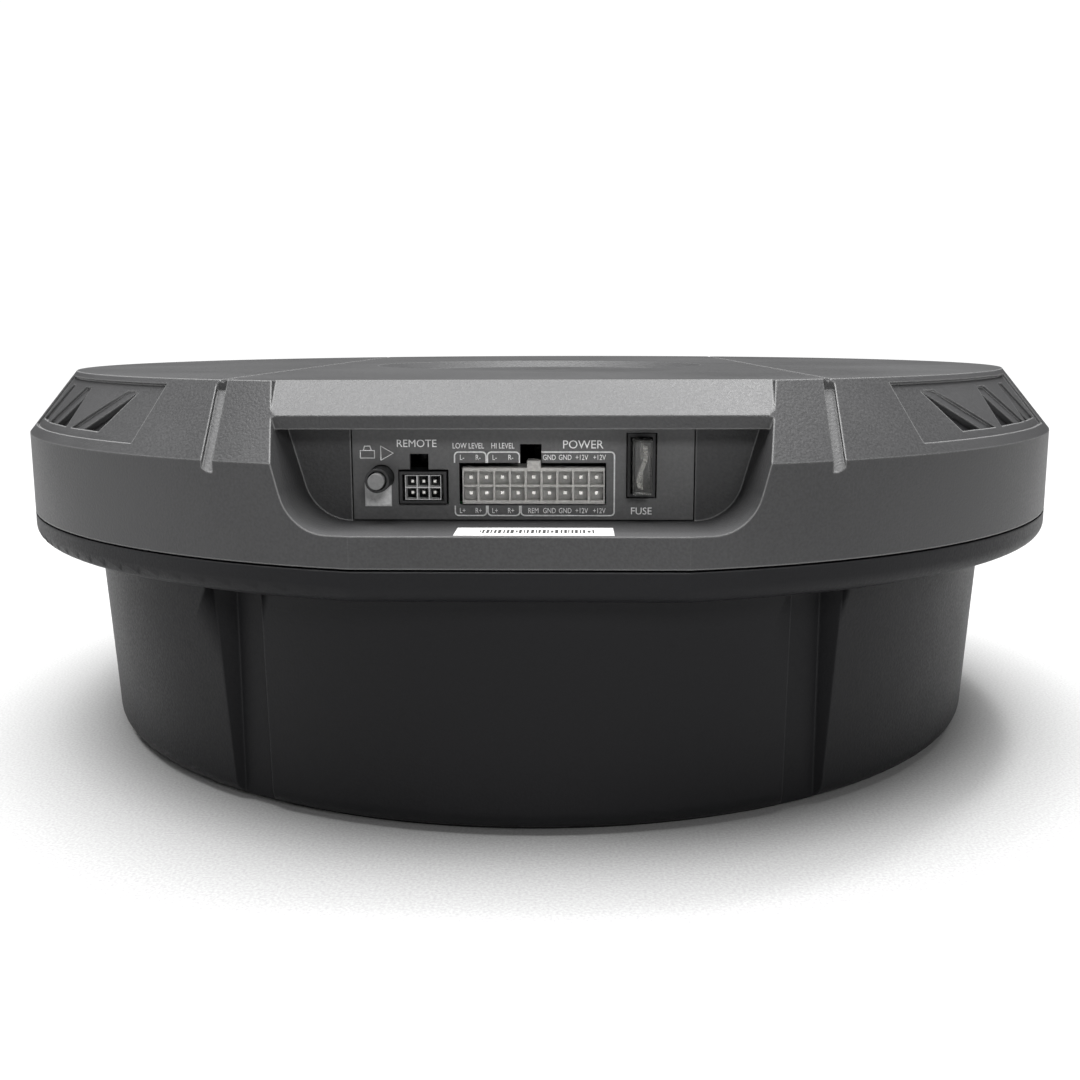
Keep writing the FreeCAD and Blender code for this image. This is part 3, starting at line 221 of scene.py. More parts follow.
def tint(material, factor, low, high):
    """A colour between two colours."""
    made = node(material, "Mix", data_type="RGBA")
    made.inputs[MIX_A].default_value = (*low, 1)
    made.inputs[MIX_B].default_value = (*high, 1)
    wire(material, factor, made.inputs[MIX_FACTOR])
    return made.outputs[MIX_RESULT]


# %% [markdown]
# No moulded or cut edge is sharp. The Bevel node rounds the edges in the shading only, so the CAD mesh
# stays as it is. Where its normal differs from the true one there is an edge, which can get a lighter
# colour, partly rub and partly painted highlight. A painted map could do the same, but every CAD solid
# would need a UV map for it.

# %% Edges and relief
EDGE_AT, FLAT_AT = 0.86, 0.995  # the cosine between the two normals


def rounded_normal(material, radius):
    """The normal of the surface as if its edges had a radius in metres."""
    rounded = node(material, "Bevel", samples=4)
    rounded.inputs["Radius"].default_value = radius
    return rounded.outputs["Normal"]


def edge_mask(material, soft_normal):
    """1 where the rounded and the true normal differ, 0 on a flat face."""
    true = node(material, "NewGeometry")
    compare = node(material, "VectorMath", operation="DOT_PRODUCT")
    wire(material, soft_normal, compare.inputs[0])
    wire(material, true.outputs["Normal"], compare.inputs[1])
    return remap(material, compare.outputs["Value"], 1.0, 0.0, EDGE_AT, FLAT_AT)


def add_bump(material, shader, height, soft_normal, strength, distance):
    """Presses a pattern into the surface, on top of the rounded edges."""
    bump = node(material, "Bump", Strength=strength, Distance=distance)
    wire(material, height, bump.inputs["Height"])
    wire(material, soft_normal, bump.inputs["Normal"])
    wire(material, bump.outputs["Normal"], shader.inputs["Normal"])


# %% [markdown]
# Nearly every solid here is moulded plastic. It has a fine spark-eroded grain from its mould, faint
# clouds in its colour and in its gloss, and edges that are a little rubbed and carry a painted
# highlight. One maker gives all of that, and each plastic below differs only in its numbers: grain is
# the size of the grain in metres, depth how deep it is, rub_and_highlight how much of the lighter edge
# colour (partly rub, partly painted highlight) an edge gets, and radius the edge's radius in
# millimetres.

# %% Moulded plastic
CLOUD_SCALE = 14.0  # cycles per metre
SPECKLE_LOW, SPECKLE_HIGH = [0.86] * 3, [1.12] * 3
CLOUD_GLOSS, GRAIN_GLOSS = 0.05, 0.06
GRAIN_RELIEF, MARK_RELIEF = 0.0002, 0.0001


def grained(
    name,
    colour,
    rough,
    grain=0.0008,
    depth=0.03,
    rub_and_highlight=0.25,
    radius=0.8,
    cloud=0.12,
    rub_and_highlight_colour=None,
    **extra,
):
    """Moulded plastic: fine grain, clouds of colour and gloss, rounded edges that are rubbed and carry a
    painted highlight.
    """
    made, shader = finish(name, colour, rough, **extra)
    clouds = noise(made, CLOUD_SCALE)
    fine = noise(made, 1.0 / grain, 2.0)
    low = [c * (1 - cloud) for c in colour]
    high = [c * (1 + cloud) for c in colour]
    body_colour = tint(made, remap(made, clouds, 0.0, 1.0), low, high)
    grain_colour = tint(made, remap(made, fine, 0.0, 1.0), SPECKLE_LOW, SPECKLE_HIGH)
    speckle = node(made, "Mix", data_type="RGBA", blend_type="MULTIPLY")
    speckle.inputs[MIX_FACTOR].default_value = 1.0
    wire(made, body_colour, speckle.inputs[MIX_A])
    wire(made, grain_colour, speckle.inputs[MIX_B])
    soft_normal = rounded_normal(made, radius * MM)
    # Edges get a lighter colour: partly rubbed plastic, partly a painted highlight where a lit rounded
    # edge would shine.
    rub_and_highlight_share = node(made, "Math", operation="MULTIPLY")
    rub_and_highlight_share.inputs[1].default_value = rub_and_highlight
    wire(made, edge_mask(made, soft_normal), rub_and_highlight_share.inputs[0])
    rub_and_highlight_colour = rub_and_highlight_colour or [min(1.0, c * 2.2 + 0.04) for c in colour]
    rub_and_highlight_mix = node(made, "Mix", data_type="RGBA")
    rub_and_highlight_mix.inputs[MIX_B].default_value = (*rub_and_highlight_colour, 1)
    wire(made, rub_and_highlight_share.outputs[0], rub_and_highlight_mix.inputs[MIX_FACTOR])
    wire(made, speckle.outputs[MIX_RESULT], rub_and_highlight_mix.inputs[MIX_A])
    wire(made, rub_and_highlight_mix.outputs[MIX_RESULT], shader.inputs["Base Color"])
    gloss = node(made, "Math", operation="ADD")
    wire(made, remap(made, clouds, -CLOUD_GLOSS, CLOUD_GLOSS), gloss.inputs[0])
    wire(made, remap(made, fine, rough - GRAIN_GLOSS, rough + GRAIN_GLOSS), gloss.inputs[1])
    wire(made, gloss.outputs[0], shader.inputs["Roughness"])
    add_bump(made, shader, fine, soft_normal, depth * 10, GRAIN_RELIEF)
    return made


# %% Cover plastic
def dress(material, *nodes):
    """Gives CAD nodes a finish."""
    for name in nodes:
        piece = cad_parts[name]
        piece.data.materials.clear()
        piece.data.materials.append(material)


# The cover's edges get the full light grey edge colour: a painted highlight, as its rounded edges would
# catch the light.
cover_black = grained(
    "casing_plastic",
    (0.046, 0.046, 0.047),
    0.46,
    grain=0.0007,
    depth=0.05,
    rub_and_highlight=1.0,
    radius=0.7,
    rub_and_highlight_colour=(0.24, 0.24, 0.24),
    Specular_IOR_Level=0.26,
)
dress(cover_black, "top_cover")
print("cover finished")

# %% [markdown]
# The other outside parts come from the same maker with other numbers. The bowl is a darker and smoother
# plastic than the cover. The housing of the power socket is natural nylon, which is milky, and light
# that wanders under its surface is what Subsurface gives. Foam and rubber are rough, hardly rubbed, and
# get little painted edge highlight.

# %% Casing finishes
bowl_black = grained("bowl_plastic", (0.007, 0.007, 0.008), 0.48, rub_and_highlight=0.35, Specular_IOR_Level=0.17)
dress(bowl_black, "bowl")
smooth_black = grained("black_plastic", (0.012, 0.012, 0.013), 0.42, depth=0.01, rub_and_highlight=0.2, radius=0.3)
dress(smooth_black, "vent_inserts", "hold_down_tube", "remote_header_housing")
dress(smooth_black, "button_collar", "fuse_holder")
panel_grey = grained("panel_plastic", (0.085, 0.085, 0.086), 0.5, rub_and_highlight=0.2, radius=0.3)
dress(panel_grey, "connector_panel")
natural_nylon = grained(
    "nylon_light",
    (0.44, 0.43, 0.41),
    0.38,
    depth=0.006,
    rub_and_highlight=0.3,
    radius=0.2,
    Subsurface_Weight=0.8,
    Subsurface_Radius=(1.0, 1.0, 1.0),
    Subsurface_Scale=0.006,
)
dress(natural_nylon, "power_header_housing", "speaker_output_block", "speaker_terminals")
button_grey = grained("grey_plastic", (0.15, 0.15, 0.15), 0.4, depth=0.01, radius=0.4)
dress(button_grey, "button_cap")
foam = grained("foam_rubber", (0.012, 0.012, 0.012), 0.9, grain=0.0012, depth=0.09, rub_and_highlight=0.0)
dress(foam, "rim_gasket", "woofer_gasket")
rubber = grained("soft_rubber", (0.014, 0.014, 0.014), 0.62, depth=0.015, rub_and_highlight=0.1)
dress(rubber, "base_ring", "surround")
print("casing finished")

# %% [markdown]
# Rolled, drawn and plated metal has fine marks along the way it was worked, so its noise is stretched,
# and a stain here and there. A metal with a coat of paint is the same maker with no metallic share.

# %% Metal finishes
STAIN_SCALE = 40.0  # cycles per metre
METAL_EDGE = 0.3 * MM


def metal(name, colour, rough, scale=900.0, stretch=(1, 1, 1), depth=0.15, metallic=1.0):
    """Metal or enamel: fine marks that break up the gloss, cloudy colour and rounded edges."""
    made, shader = finish(name, colour, rough, Metallic=metallic)
    marks = noise(made, scale, 4.0, stretch)
    stains = noise(made, STAIN_SCALE)
    low = [c * 0.8 for c in colour]
    wire(made, tint(made, remap(made, stains, 0.0, 1.0), low, colour), shader.inputs["Base Color"])
    wire(made, remap(made, marks, rough - 0.1, rough + 0.12), shader.inputs["Roughness"])
    soft_normal = rounded_normal(made, METAL_EDGE)
    add_bump(made, shader, marks, soft_normal, depth, MARK_RELIEF)
    return made


zinc = metal("zinc_steel", (0.55, 0.56, 0.58), 0.34)
dress(zinc, "flange_screws", "guard_screws", "driver_screws", "bracket_screws")
dress(zinc, "board_standoffs", "board_screws")
plated = metal("steel_plate", (0.52, 0.51, 0.48), 0.3, stretch=(1, 1, 12))
dress(plated, "front_plate", "yoke_and_pole")
black_steel = metal("black_steel", (0.02, 0.02, 0.021), 0.42, scale=1500, metallic=0.0)
dress(black_steel, "woofer_basket", "woofer_guard")
ferrite = metal("ferrite", (0.05, 0.05, 0.055), 0.6, scale=600, metallic=0.3)
dress(ferrite, "ring_magnet", "transformer_core")
aluminium = metal("aluminium", (0.70, 0.71, 0.72), 0.36, scale=300, stretch=(1, 14, 14))
dress(aluminium, "amp_bracket")
tin = metal("tin_pin", (0.72, 0.71, 0.68), 0.25)
dress(tin, "power_header_pins", "remote_header_pins", "fuse_blades")
copper = metal("copper_winding", (0.60, 0.26, 0.12), 0.3, scale=200, stretch=(1, 1, 30), depth=0.4)
dress(copper, "voice_coil")
print("metals finished")

# %% [markdown]
# The inside is hidden, but it shows when the part is taken to pieces: a green board, dark sleeves on
# the capacitors, two leads with jackets, and the paper and the cloth of the woofer's moving parts. Pulp
# and cloth have the coarsest grain here and no gloss.

# %% Amplifier and soft finishes
dress(grained("former_film", (0.42, 0.24, 0.08), 0.3, depth=0.005), "voice_coil_former")
dress(grained("board_green", (0.012, 0.10, 0.03), 0.3, depth=0.01, rub_and_highlight=0.1, radius=0.2), "amp_board")
dress(grained("black_epoxy", (0.015, 0.015, 0.015), 0.5, radius=0.3), "power_transistors")
can_sleeve = grained("can_sleeve", (0.012, 0.014, 0.03), 0.25, depth=0.005)
dress(can_sleeve, "reservoir_capacitors", "small_capacitors")
dress(grained("red_jacket", (0.38, 0.012, 0.012), 0.35, depth=0.01), "speaker_lead_red")
dress(grained("black_jacket", (0.012, 0.012, 0.012), 0.35, depth=0.01), "speaker_lead_black")
fuse_amber = grained("fuse_clear", (0.34, 0.30, 0.22), 0.2, depth=0.004, radius=0.4)
dress(fuse_amber, "fuse_body")
pulp = grained("paper_pulp", (0.016, 0.016, 0.017), 0.85, grain=0.0015, depth=0.06, rub_and_highlight=0.0)
dress(pulp, "cone", "ring_dust_cap")
cloth = grained("spider_cloth", (0.42, 0.32, 0.13), 0.8, grain=0.0009, depth=0.06, rub_and_highlight=0.0)
dress(cloth, "spider")
print("inside finished")

# %% [markdown]
# The woofer's moving parts are thin turned shells, so each is a profile spun once round the axis. The
# real cone is pressed pulp with a slight belly, its surround is a rubber half roll, and the spider is a
# cloth disc pressed into rings. Spinning a curve gives exactly that, and a Solidify gives it its wall.


# %% Lathe
def add_turned(work, profile, steps, closed=True):
    """Spins a profile of (radius, height) in metres once round the axis, inside a bmesh."""
    corners = [work.verts.new((radius, 0, height)) for radius, height in profile]
    edges = [work.edges.new(pair) for pair in zip(corners, corners[1:])]
    if closed:
        edges.append(work.edges.new((corners[-1], corners[0])))
    bmesh.ops.spin(
        work,
        geom=corners + edges,
        cent=(0, 0, 0),
        axis=(0, 0, 1),
        angle=math.tau,
        steps=steps,
        use_merge=True,
        use_duplicate=False,
    )


def lathe(name, profile, wall=0.0, steps=144, closed=False):
    """Makes an object of one turned profile and gives it a wall."""
    work = bmesh.new()
    add_turned(work, profile, steps, closed)
    bmesh.ops.remove_doubles(work, verts=work.verts, dist=1e-6)
    bmesh.ops.recalc_face_normals(work, faces=work.faces)
    if wall:
        bmesh.ops.solidify(work, geom=work.faces[:], thickness=wall)
    for face in work.faces:
        face.smooth = True
    made = finished(work, name)
    print(name, len(made.data.polygons), "faces")
    return made


# %% Finish and body of a piece
def put_on(piece, material, body, *stands_for, slot=None):
    """Gives a piece its finish and its body, and hides what it stands for."""
    piece.data.materials.clear()
    piece.data.materials.append(material)
    if body:
        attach(piece, body)
    if stands_for:
        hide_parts(*stands_for)
    return piece


# %% Profile lines
def smooth_curve(points, per_span=8):
    """Points along a smooth curve through a few given ones."""
    padded = [points[0], *points, points[-1]]
    curve = []
    for before, start, end, after in zip(padded, padded[1:], padded[2:], padded[3:]):
        for step in range(per_span):
            t = step / per_span
            place = []
            for a, b, c, d in zip(before, start, end, after):
                square, cube = 2 * a - 5 * b + 4 * c - d, 3 * b - a - 3 * c + d
                place.append(0.5 * (2 * b + (c - a) * t + square * t * t + cube * t**3))
            curve.append(tuple(place))
    return curve + [points[-1]]


def round_line(radius, height, thick, count):
    """A small closed circle as a profile."""
    turns = [math.tau * k / count for k in range(count)]
    return [(radius + thick * math.cos(a), height + thick * math.sin(a)) for a in turns]


# %% [markdown]
# The cone's shell runs from the former to the surround with a slight belly, and the dust cap is a ring,
# because the hold-down tube passes through it. Both lines are smooth curves through a few points, and
# a bead of glue, a small circle turned round the axis, closes the seam between them.

# %% Cone
CONE_WALL, CAP_WALL, BEAD = 0.0010, 0.0008, 0.0011
low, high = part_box("cone")
neck_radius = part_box("voice_coil_former")[1].x
rim_edge, neck_height, edge_height = high.x, high.z - 0.0006, low.z + 0.0004
belly = smooth_curve(
    [
        (neck_radius, neck_height),
        (neck_radius + 0.012, neck_height - 0.0062),
        (neck_radius + 0.036, neck_height - 0.0158),
        (neck_radius + 0.060, neck_height - 0.0226),
        (rim_edge - 0.004, edge_height + 0.0004),
        (rim_edge, edge_height),
    ],
    10,
)
shell = lathe("woofer_cone_shell", belly, CONE_WALL)
put_on(shell, pulp, "woofer_cone", "cone", slot="paper_pulp")
print("cone from", neck_radius, "to", rim_edge, "m from the axis")

# %% Ring dust cap
low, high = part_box("ring_dust_cap")
tube_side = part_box("hold_down_tube")[1].x
hole_radius = 0.018
cap_line = smooth_curve(
    [
        (hole_radius, high.z - 0.0012),
        (hole_radius + 0.0005, low.z + 0.0008),
        (hole_radius + 0.004, low.z + 0.0002),
        (0.037, low.z + 0.0006),
        (0.050, low.z + 0.0022),
        (high.x, high.z - 0.0032),
    ],
    8,
)
cap = lathe("dust_cap_shell", cap_line, CAP_WALL)
put_on(cap, pulp, "woofer_cone", "ring_dust_cap", slot="paper_pulp")
glue = lathe("dust_cap_glue", round_line(high.x, high.z - 0.0036, BEAD, 10), closed=True)
put_on(glue, smooth_black, "woofer_cone", slot="black_plastic")

# %% [markdown]
# The surround and the spider join the housing to the cone, so in the woofer one edge of each stays
# and the other moves. Here each is only a turned shell, its placement baked into its mesh.


# %% Surround
def spread_between(piece):
    """Bakes a turned piece's placement into its mesh."""
    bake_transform(piece)


ROLL_STEPS, ROLL_WALL = 24, 0.0008
low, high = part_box("surround")
roll_outer, roll_inner = 0.1305, 0.1125
middle, radius = (roll_outer + roll_inner) / 2, (roll_outer - roll_inner) / 2
turns = [math.pi * k / ROLL_STEPS for k in range(ROLL_STEPS + 1)]
roll = [(middle - radius * math.cos(a), high.z - radius * math.sin(a) + 0.0003) for a in turns]
line = [
    (roll_inner - 0.004, high.z - 0.0005),
    (roll_inner - 0.0012, high.z - 0.0004),
    *roll,
    (roll_outer + 0.0008, high.z - 0.0004),
    (high.x - 0.0002, high.z - 0.0005),
]
surround = lathe("surround_roll", line, ROLL_WALL)
surround.data.materials.append(rubber)
spread_between(surround)
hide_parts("surround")
print("surround", roll_outer, roll_inner)

# %% Spider
WAVES, WAVE_HEIGHT, WAVE_STEPS, CLOTH_WALL = 7, 0.0016, 96, 0.0006
low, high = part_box("spider")
spider_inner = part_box("voice_coil_former")[1].x + 0.0002
waves = []
for k in range(WAVE_STEPS + 1):
    share = k / WAVE_STEPS
    fade = min(1, 6 * share, 6 * (1 - share))
    swing = WAVE_HEIGHT * math.sin(share * math.tau * WAVES) * fade
    waves.append((spider_inner + (high.x - spider_inner) * share, high.z - 0.0004 + swing))
spider = lathe("spider_disc", waves, CLOTH_WALL, steps=96)
spider.data.materials.append(cloth)
spread_between(spider)
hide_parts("spider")
print("spider", WAVES, "waves")

# %% [markdown]
# The guard keeps the cone clear of the wheel. A real one is welded from wire: rings across six spokes,
# between a flat outer ring that takes the screws and a hub round the hold-down tube. A wire could be a
# curve with a bevel, but a small profile spun round the axis gives a closed ring at once.


# %% Guard of rings and spokes
def band_line(inner, outer, foot, top, bevel):
    """The profile of a flat ring with its two lower edges bevelled."""
    return [
        (inner, foot + bevel),
        (inner + bevel, foot),
        (outer - bevel, foot),
        (outer, foot + bevel),
        (outer, top),
        (inner, top),
    ]


RING_WIRE, SPOKE_WIRE, BAND_BEVEL = 0.0009, 0.0011, 0.0004
RING_COUNT, FIRST_RING, RING_STEP, SPOKE_COUNT = 9, 0.032, 0.0122, 6
OUTER_WIDTH, HUB_WIDTH = 0.0098, 0.007
low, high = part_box("woofer_guard")
parts = bmesh.new()
outer_low = high.x - OUTER_WIDTH
add_turned(parts, band_line(outer_low, high.x, low.z, high.z, BAND_BEVEL), 144)
hub_low = tube_side + 0.0005
hub_high = hub_low + HUB_WIDTH
add_turned(parts, band_line(hub_low, hub_high, low.z, high.z, BAND_BEVEL), 64)
for number in range(RING_COUNT):
    ring = round_line(FIRST_RING + RING_STEP * number, low.z + RING_WIRE, RING_WIRE, 8)
    add_turned(parts, ring, 120)
for spoke in range(SPOKE_COUNT):
    made = bmesh.ops.create_cone(
        parts,
        cap_ends=True,
        segments=10,
        radius1=SPOKE_WIRE,
        radius2=SPOKE_WIRE,
        depth=outer_low - hub_low - 0.003,
    )
    turned = Matrix.Rotation(math.tau * spoke / SPOKE_COUNT, 4, "Z")
    reach = Matrix.Translation((0, (outer_low + hub_high) / 2 - 0.002, high.z - SPOKE_WIRE))
    lie = Matrix.Rotation(math.pi / 2, 4, "X")
    bmesh.ops.transform(parts, matrix=turned @ reach @ lie, verts=made["verts"])
bmesh.ops.remove_doubles(parts, verts=parts.verts, dist=1e-7)
bmesh.ops.recalc_face_normals(parts, faces=parts.faces)
for face in parts.faces:
    face.smooth = len(face.verts) < 6
guard = finished(parts, "wire_guard")
put_on(guard, black_steel, "housing", "woofer_guard", slot="black_steel")
print("guard", len(guard.data.polygons), "faces")

# %% [markdown]
# The screws that show from below have pan heads with a cross recess. A screw is a short cone with its
# lower rim bevelled; the face under it is inset, the inner ring is drawn in between the four arms of
# the cross, and that face is pushed up into the head. The places come from the separate solids of
# the CAD node, which are found by walking from vertex to vertex.


# %% Screw places
def islands(name):
    """The low and high corner of every separate solid in a CAD node."""
    work = bmesh.new()
    work.from_mesh(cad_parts[name].data)
    bmesh.ops.remove_doubles(work, verts=work.verts, dist=1e-6)
    left, found = set(work.verts), []
    while left:
        front = [left.pop()]
        group = []
        while front:
            vertex = front.pop()
            group.append(vertex.co.copy())
            for edge in vertex.link_edges:
                other = edge.other_vert(vertex)
                if other in left:
                    left.remove(other)
                    front.append(other)
        found.append([Vector([pick(p[k] for p in group) for k in range(3)]) for pick in (min, max)])
    work.free()
    return sorted(found, key=lambda corners: corners[0][:])


places = {name: islands(name) for name in ("flange_screws", "guard_screws")}
print({name: len(found) for name, found in places.items()})


# %% Screws
def add_screw(work, low, high, head_height, shank_radius):
    """A pan-head screw with a cross recess that is driven from below, in the room of a CAD screw."""
    head_radius = (high.x - low.x) / 2
    centre = Vector(((low.x + high.x) / 2, (low.y + high.y) / 2, low.z + head_height / 2))
    shape = bmesh.new()
    bmesh.ops.create_cone(
        shape,
        cap_ends=True,
        segments=32,
        radius1=head_radius * 0.96,
        radius2=head_radius,
        depth=head_height,
    )
    rim = [e for e in shape.edges if all(v.co.z < 0 for v in e.verts)]
    bmesh.ops.bevel(
        shape,
        geom=rim,
        offset=head_height * 0.4,
        affect="EDGES",
        segments=3,
        profile=0.5,
        material=-1,
        clamp_overlap=True,
    )
    under = min(shape.faces, key=lambda face: face.calc_center_median().z)
    bmesh.ops.inset_region(shape, faces=[under], thickness=head_radius * 0.12, depth=0.0)
    for vertex in under.verts:
        angle = math.atan2(vertex.co.y, vertex.co.x)
        wide = head_radius * (0.36 + 0.22 * math.cos(4 * angle))
        vertex.co.x, vertex.co.y = wide * math.cos(angle), wide * math.sin(angle)
    pushed = bmesh.ops.extrude_face_region(shape, geom=[under])["geom"]
    inner = [item for item in pushed if isinstance(item, bmesh.types.BMVert)]
    bmesh.ops.delete(shape, geom=[under], context="FACES_ONLY")
    bmesh.ops.scale(shape, vec=(0.7, 0.7, 1), verts=inner)
    bmesh.ops.translate(shape, vec=(0, 0, head_height * 0.6), verts=inner)
    length = high.z - low.z - head_height
    shank = bmesh.ops.create_cone(
        shape,
        cap_ends=True,
        segments=16,
        radius1=shank_radius,
        radius2=shank_radius * 0.8,
        depth=length,
    )
    bmesh.ops.translate(shape, vec=(0, 0, (head_height + length) / 2), verts=shank["verts"])
    bmesh.ops.translate(shape, vec=centre, verts=shape.verts)
    bmesh.ops.recalc_face_normals(shape, faces=shape.faces)
    mesh = bpy.data.meshes.new("screw")
    shape.to_mesh(mesh)
    shape.free()
    work.from_mesh(mesh)
    bpy.data.meshes.remove(mesh)


for name, made_name, head_height, shank_radius in (
    ("flange_screws", "flange_screw_set", 0.0026, 0.0019),
    ("guard_screws", "guard_screw_set", 0.0016, 0.0014),
):
    work = bmesh.new()
    for low, high in places[name]:
        add_screw(work, low, high, head_height, shank_radius)
    screws = put_on(finished(work, made_name), zinc, "housing", name, slot="zinc_steel")
    print(made_name, len(screws.data.polygons), "faces")

# %% [markdown]
# The legends beside the sockets are white print. Printed ink has no depth worth modelling, so the words
# are thin meshes a few hundredths of a millimetre proud. Only plain function words and signs are used.
# Text is turned into a mesh first and then placed, so its place is in its mesh. The lines round the
# power socket are curves with a bevel, pressed flat. The radius of the Bevel node is tiny on print,
# because a large one would look past the edge of a letter and darken it.

# %% Ink and letters
print_white = grained(
    "print_white", (0.80, 0.80, 0.80), 0.6, depth=0.004, rub_and_highlight=0.0, radius=0.01, cloud=0.08
)
panel_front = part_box("connector_panel")[0].y
print_rise = 0.00004
CAPITAL_SHARE = 0.70  # of a font's size
ink = bmesh.new()


def take_ink(curve, turn):
    """Adds a curve or a word to the ink as a mesh, turned and placed."""
    holder = bpy.data.objects.new("ink", curve)
    scene.collection.objects.link(holder)
    bpy.context.view_layer.update()
    flat = bpy.data.meshes.new_from_object(holder)
    flat.transform(turn)
    ink.from_mesh(flat)
    bpy.data.objects.remove(holder)
    bpy.data.meshes.remove(flat)


def add_word(text, x, z, height, narrow=1.0):
    """A word in capitals on the panel, centred at x, z and of a given letter height, in millimetres."""
    font = bpy.data.curves.new("word", "FONT")
    font.body = text
    font.align_x, font.align_y = "CENTER", "CENTER"
    font.size = height * MM / CAPITAL_SHARE
    font.extrude = 0.00001
    font.resolution_u = 3
    place = Matrix.Translation((x * MM, panel_front - print_rise, z * MM))
    squeeze = Matrix.Diagonal((narrow, 1, 1, 1))
    take_ink(font, place @ Matrix.Rotation(math.pi / 2, 4, "X") @ squeeze)


# %% Printed lines
def add_line(points, thick=0.42):
    """A thin printed line through points in millimetres; rounded corners come from the points given."""
    path = bpy.data.curves.new("line", "CURVE")
    path.dimensions = "3D"
    path.bevel_depth = thick * MM / 2
    path.bevel_resolution = 0
    spline = path.splines.new("POLY")
    spline.points.add(len(points) - 1)
    for point, (x, z) in zip(spline.points, points):
        point.co = (x * MM, 0, z * MM, 1)
    press = Matrix.Diagonal((1, 0.1, 1, 1))
    take_ink(path, Matrix.Translation((0, panel_front - print_rise / 2, 0)) @ press)


def corner(x, z, radius, first, last):
    """A quarter round as points."""
    turns = [math.radians(first + (last - first) * k / 4) for k in range(5)]
    return [(x + radius * math.cos(a), z + radius * math.sin(a)) for a in turns]


print("ink is", print_rise / MM, "mm proud of the panel")

# %% Panel legends
TOP_LINE, BOTTOM_LINE, HEADER_TOP, HEADER_FOOT = 106.0, 88.9, 103.1, 91.6
for left, right in ((-18.2, -9.8), (-9.4, -0.9)):
    above = corner(left + 1, TOP_LINE - 1, 1, 180, 90) + corner(right - 1, TOP_LINE - 1, 1, 90, 0)
    add_line([(left, HEADER_TOP), *above, (right, HEADER_TOP)])
    below = corner(left + 1, BOTTOM_LINE + 1, 1, 180, 270)
    below += corner(right - 1, BOTTOM_LINE + 1, 1, 270, 360)
    add_line([(left, HEADER_FOOT), *below, (right, HEADER_FOOT)])
bracket = corner(23.4, TOP_LINE - 1, 1, 90, 0) + corner(23.4, BOTTOM_LINE + 1, 1, 0, -90)
bracket += corner(0.5, BOTTOM_LINE + 1, 1, 270, 180)
add_line([(5.0, TOP_LINE), *bracket, (-0.5, HEADER_FOOT)])
add_word("REMOTE", -28.3, 108.2, 2.0)
add_word("LOW LEVEL", -14.5, 107.6, 1.5, 0.76)
add_word("HI LEVEL", -5.3, 107.6, 1.5, 0.76)
add_word("POWER", 16.0, 107.9, 2.2)
add_word("FUSE", 31.6, 90.1, 1.9)
columns = (-16.2, -11.9, -7.5, -3.2, 2.8, 7.1, 11.3, 15.7, 20.4)
upper = ("L-", "R-", "L-", "R-", "", "GND", "GND", "+12V", "+12V")
lower = ("L+", "R+", "L+", "R+", "REM", "GND", "GND", "+12V", "+12V")
for words, height in ((upper, 104.5), (lower, 90.2)):
    for text, x in zip(words, columns):
        if text:
            add_word(text, x, height, 1.4, 0.78)
SIGN_LINE = 0.36
button_sign = [(-43.4, 104.4), (-39.6, 104.4), (-39.6, 106.4), (-43.4, 106.4), (-43.4, 104.4)]
add_line(button_sign, SIGN_LINE)
add_line([(-42.6, 106.4), (-42.2, 107.6), (-40.8, 107.6), (-40.4, 106.4)], SIGN_LINE)
add_line([(-37.9, 103.8), (-34.6, 105.7), (-37.9, 107.6), (-37.9, 103.8)], SIGN_LINE)
legends = put_on(finished(ink, "panel_legends"), print_white, "housing", slot="print_white")
print("legends", len(legends.data.polygons), "faces")

# %% [markdown]
# Two stickers: a white serial label on the recess floor, whose print is only a row of meaningless
# strokes, and a small blank one on the panel. Paper has a thickness and a slightly lifted edge, so each
# is a thin bevelled slab. The strokes differ in width and gap by a small repeating sum.


# %% A slab
def slab(name, low, high, bevel):
    """A thin box between two corners in millimetres, with rounded edges."""
    work = bmesh.new()
    made = bmesh.ops.create_cube(work, size=1.0)
    size = [(b - a) * MM for a, b in zip(low, high)]
    centre = [(a + b) / 2 * MM for a, b in zip(low, high)]
    bmesh.ops.scale(work, vec=size, verts=made["verts"])
    bmesh.ops.translate(work, vec=centre, verts=made["verts"])
    bmesh.ops.bevel(
        work,
        geom=work.edges[:],
        offset=bevel * MM,
        affect="EDGES",
        segments=2,
        profile=0.5,
        material=-1,
        clamp_overlap=True,
    )
    return finished(work, name)


# %% Serial label
label_paper = grained("paper_white", (0.72, 0.72, 0.71), 0.5, depth=0.003, rub_and_highlight=0.0, cloud=0.05)
recess_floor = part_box("connector_panel")[0].z / MM - 0.3
label = slab("serial_label", (-16.4, -177.6, recess_floor), (23.8, -165.6, recess_floor + 0.12), 0.04)
put_on(label, label_paper, "housing", slot="paper_white")
stroke_ink = grained("stroke_ink", (0.03, 0.03, 0.03), 0.6, depth=0.003, rub_and_highlight=0.0, radius=0.01)
strokes = bmesh.new()
left, stroke_y, stroke_z = -10.2, -171.8, recess_floor + 0.125
for number in range(29):
    width = 0.35 + 0.5 * ((number * 37) % 11) / 10
    gap = 0.3 + 0.25 * ((number * 53) % 7) / 6
    made = bmesh.ops.create_cube(strokes, size=1.0)
    tall = 5.6 if number % 9 else 3.4
    bmesh.ops.scale(strokes, vec=(width * MM, tall * MM, 0.02 * MM), verts=made["verts"])
    place = ((left + width / 2) * MM, stroke_y * MM, stroke_z * MM)
    bmesh.ops.translate(strokes, vec=place, verts=made["verts"])
    left += width + gap
put_on(finished(strokes, "serial_strokes"), stroke_ink, "housing", slot="print_white")
print("label", len(label.data.polygons), "faces")

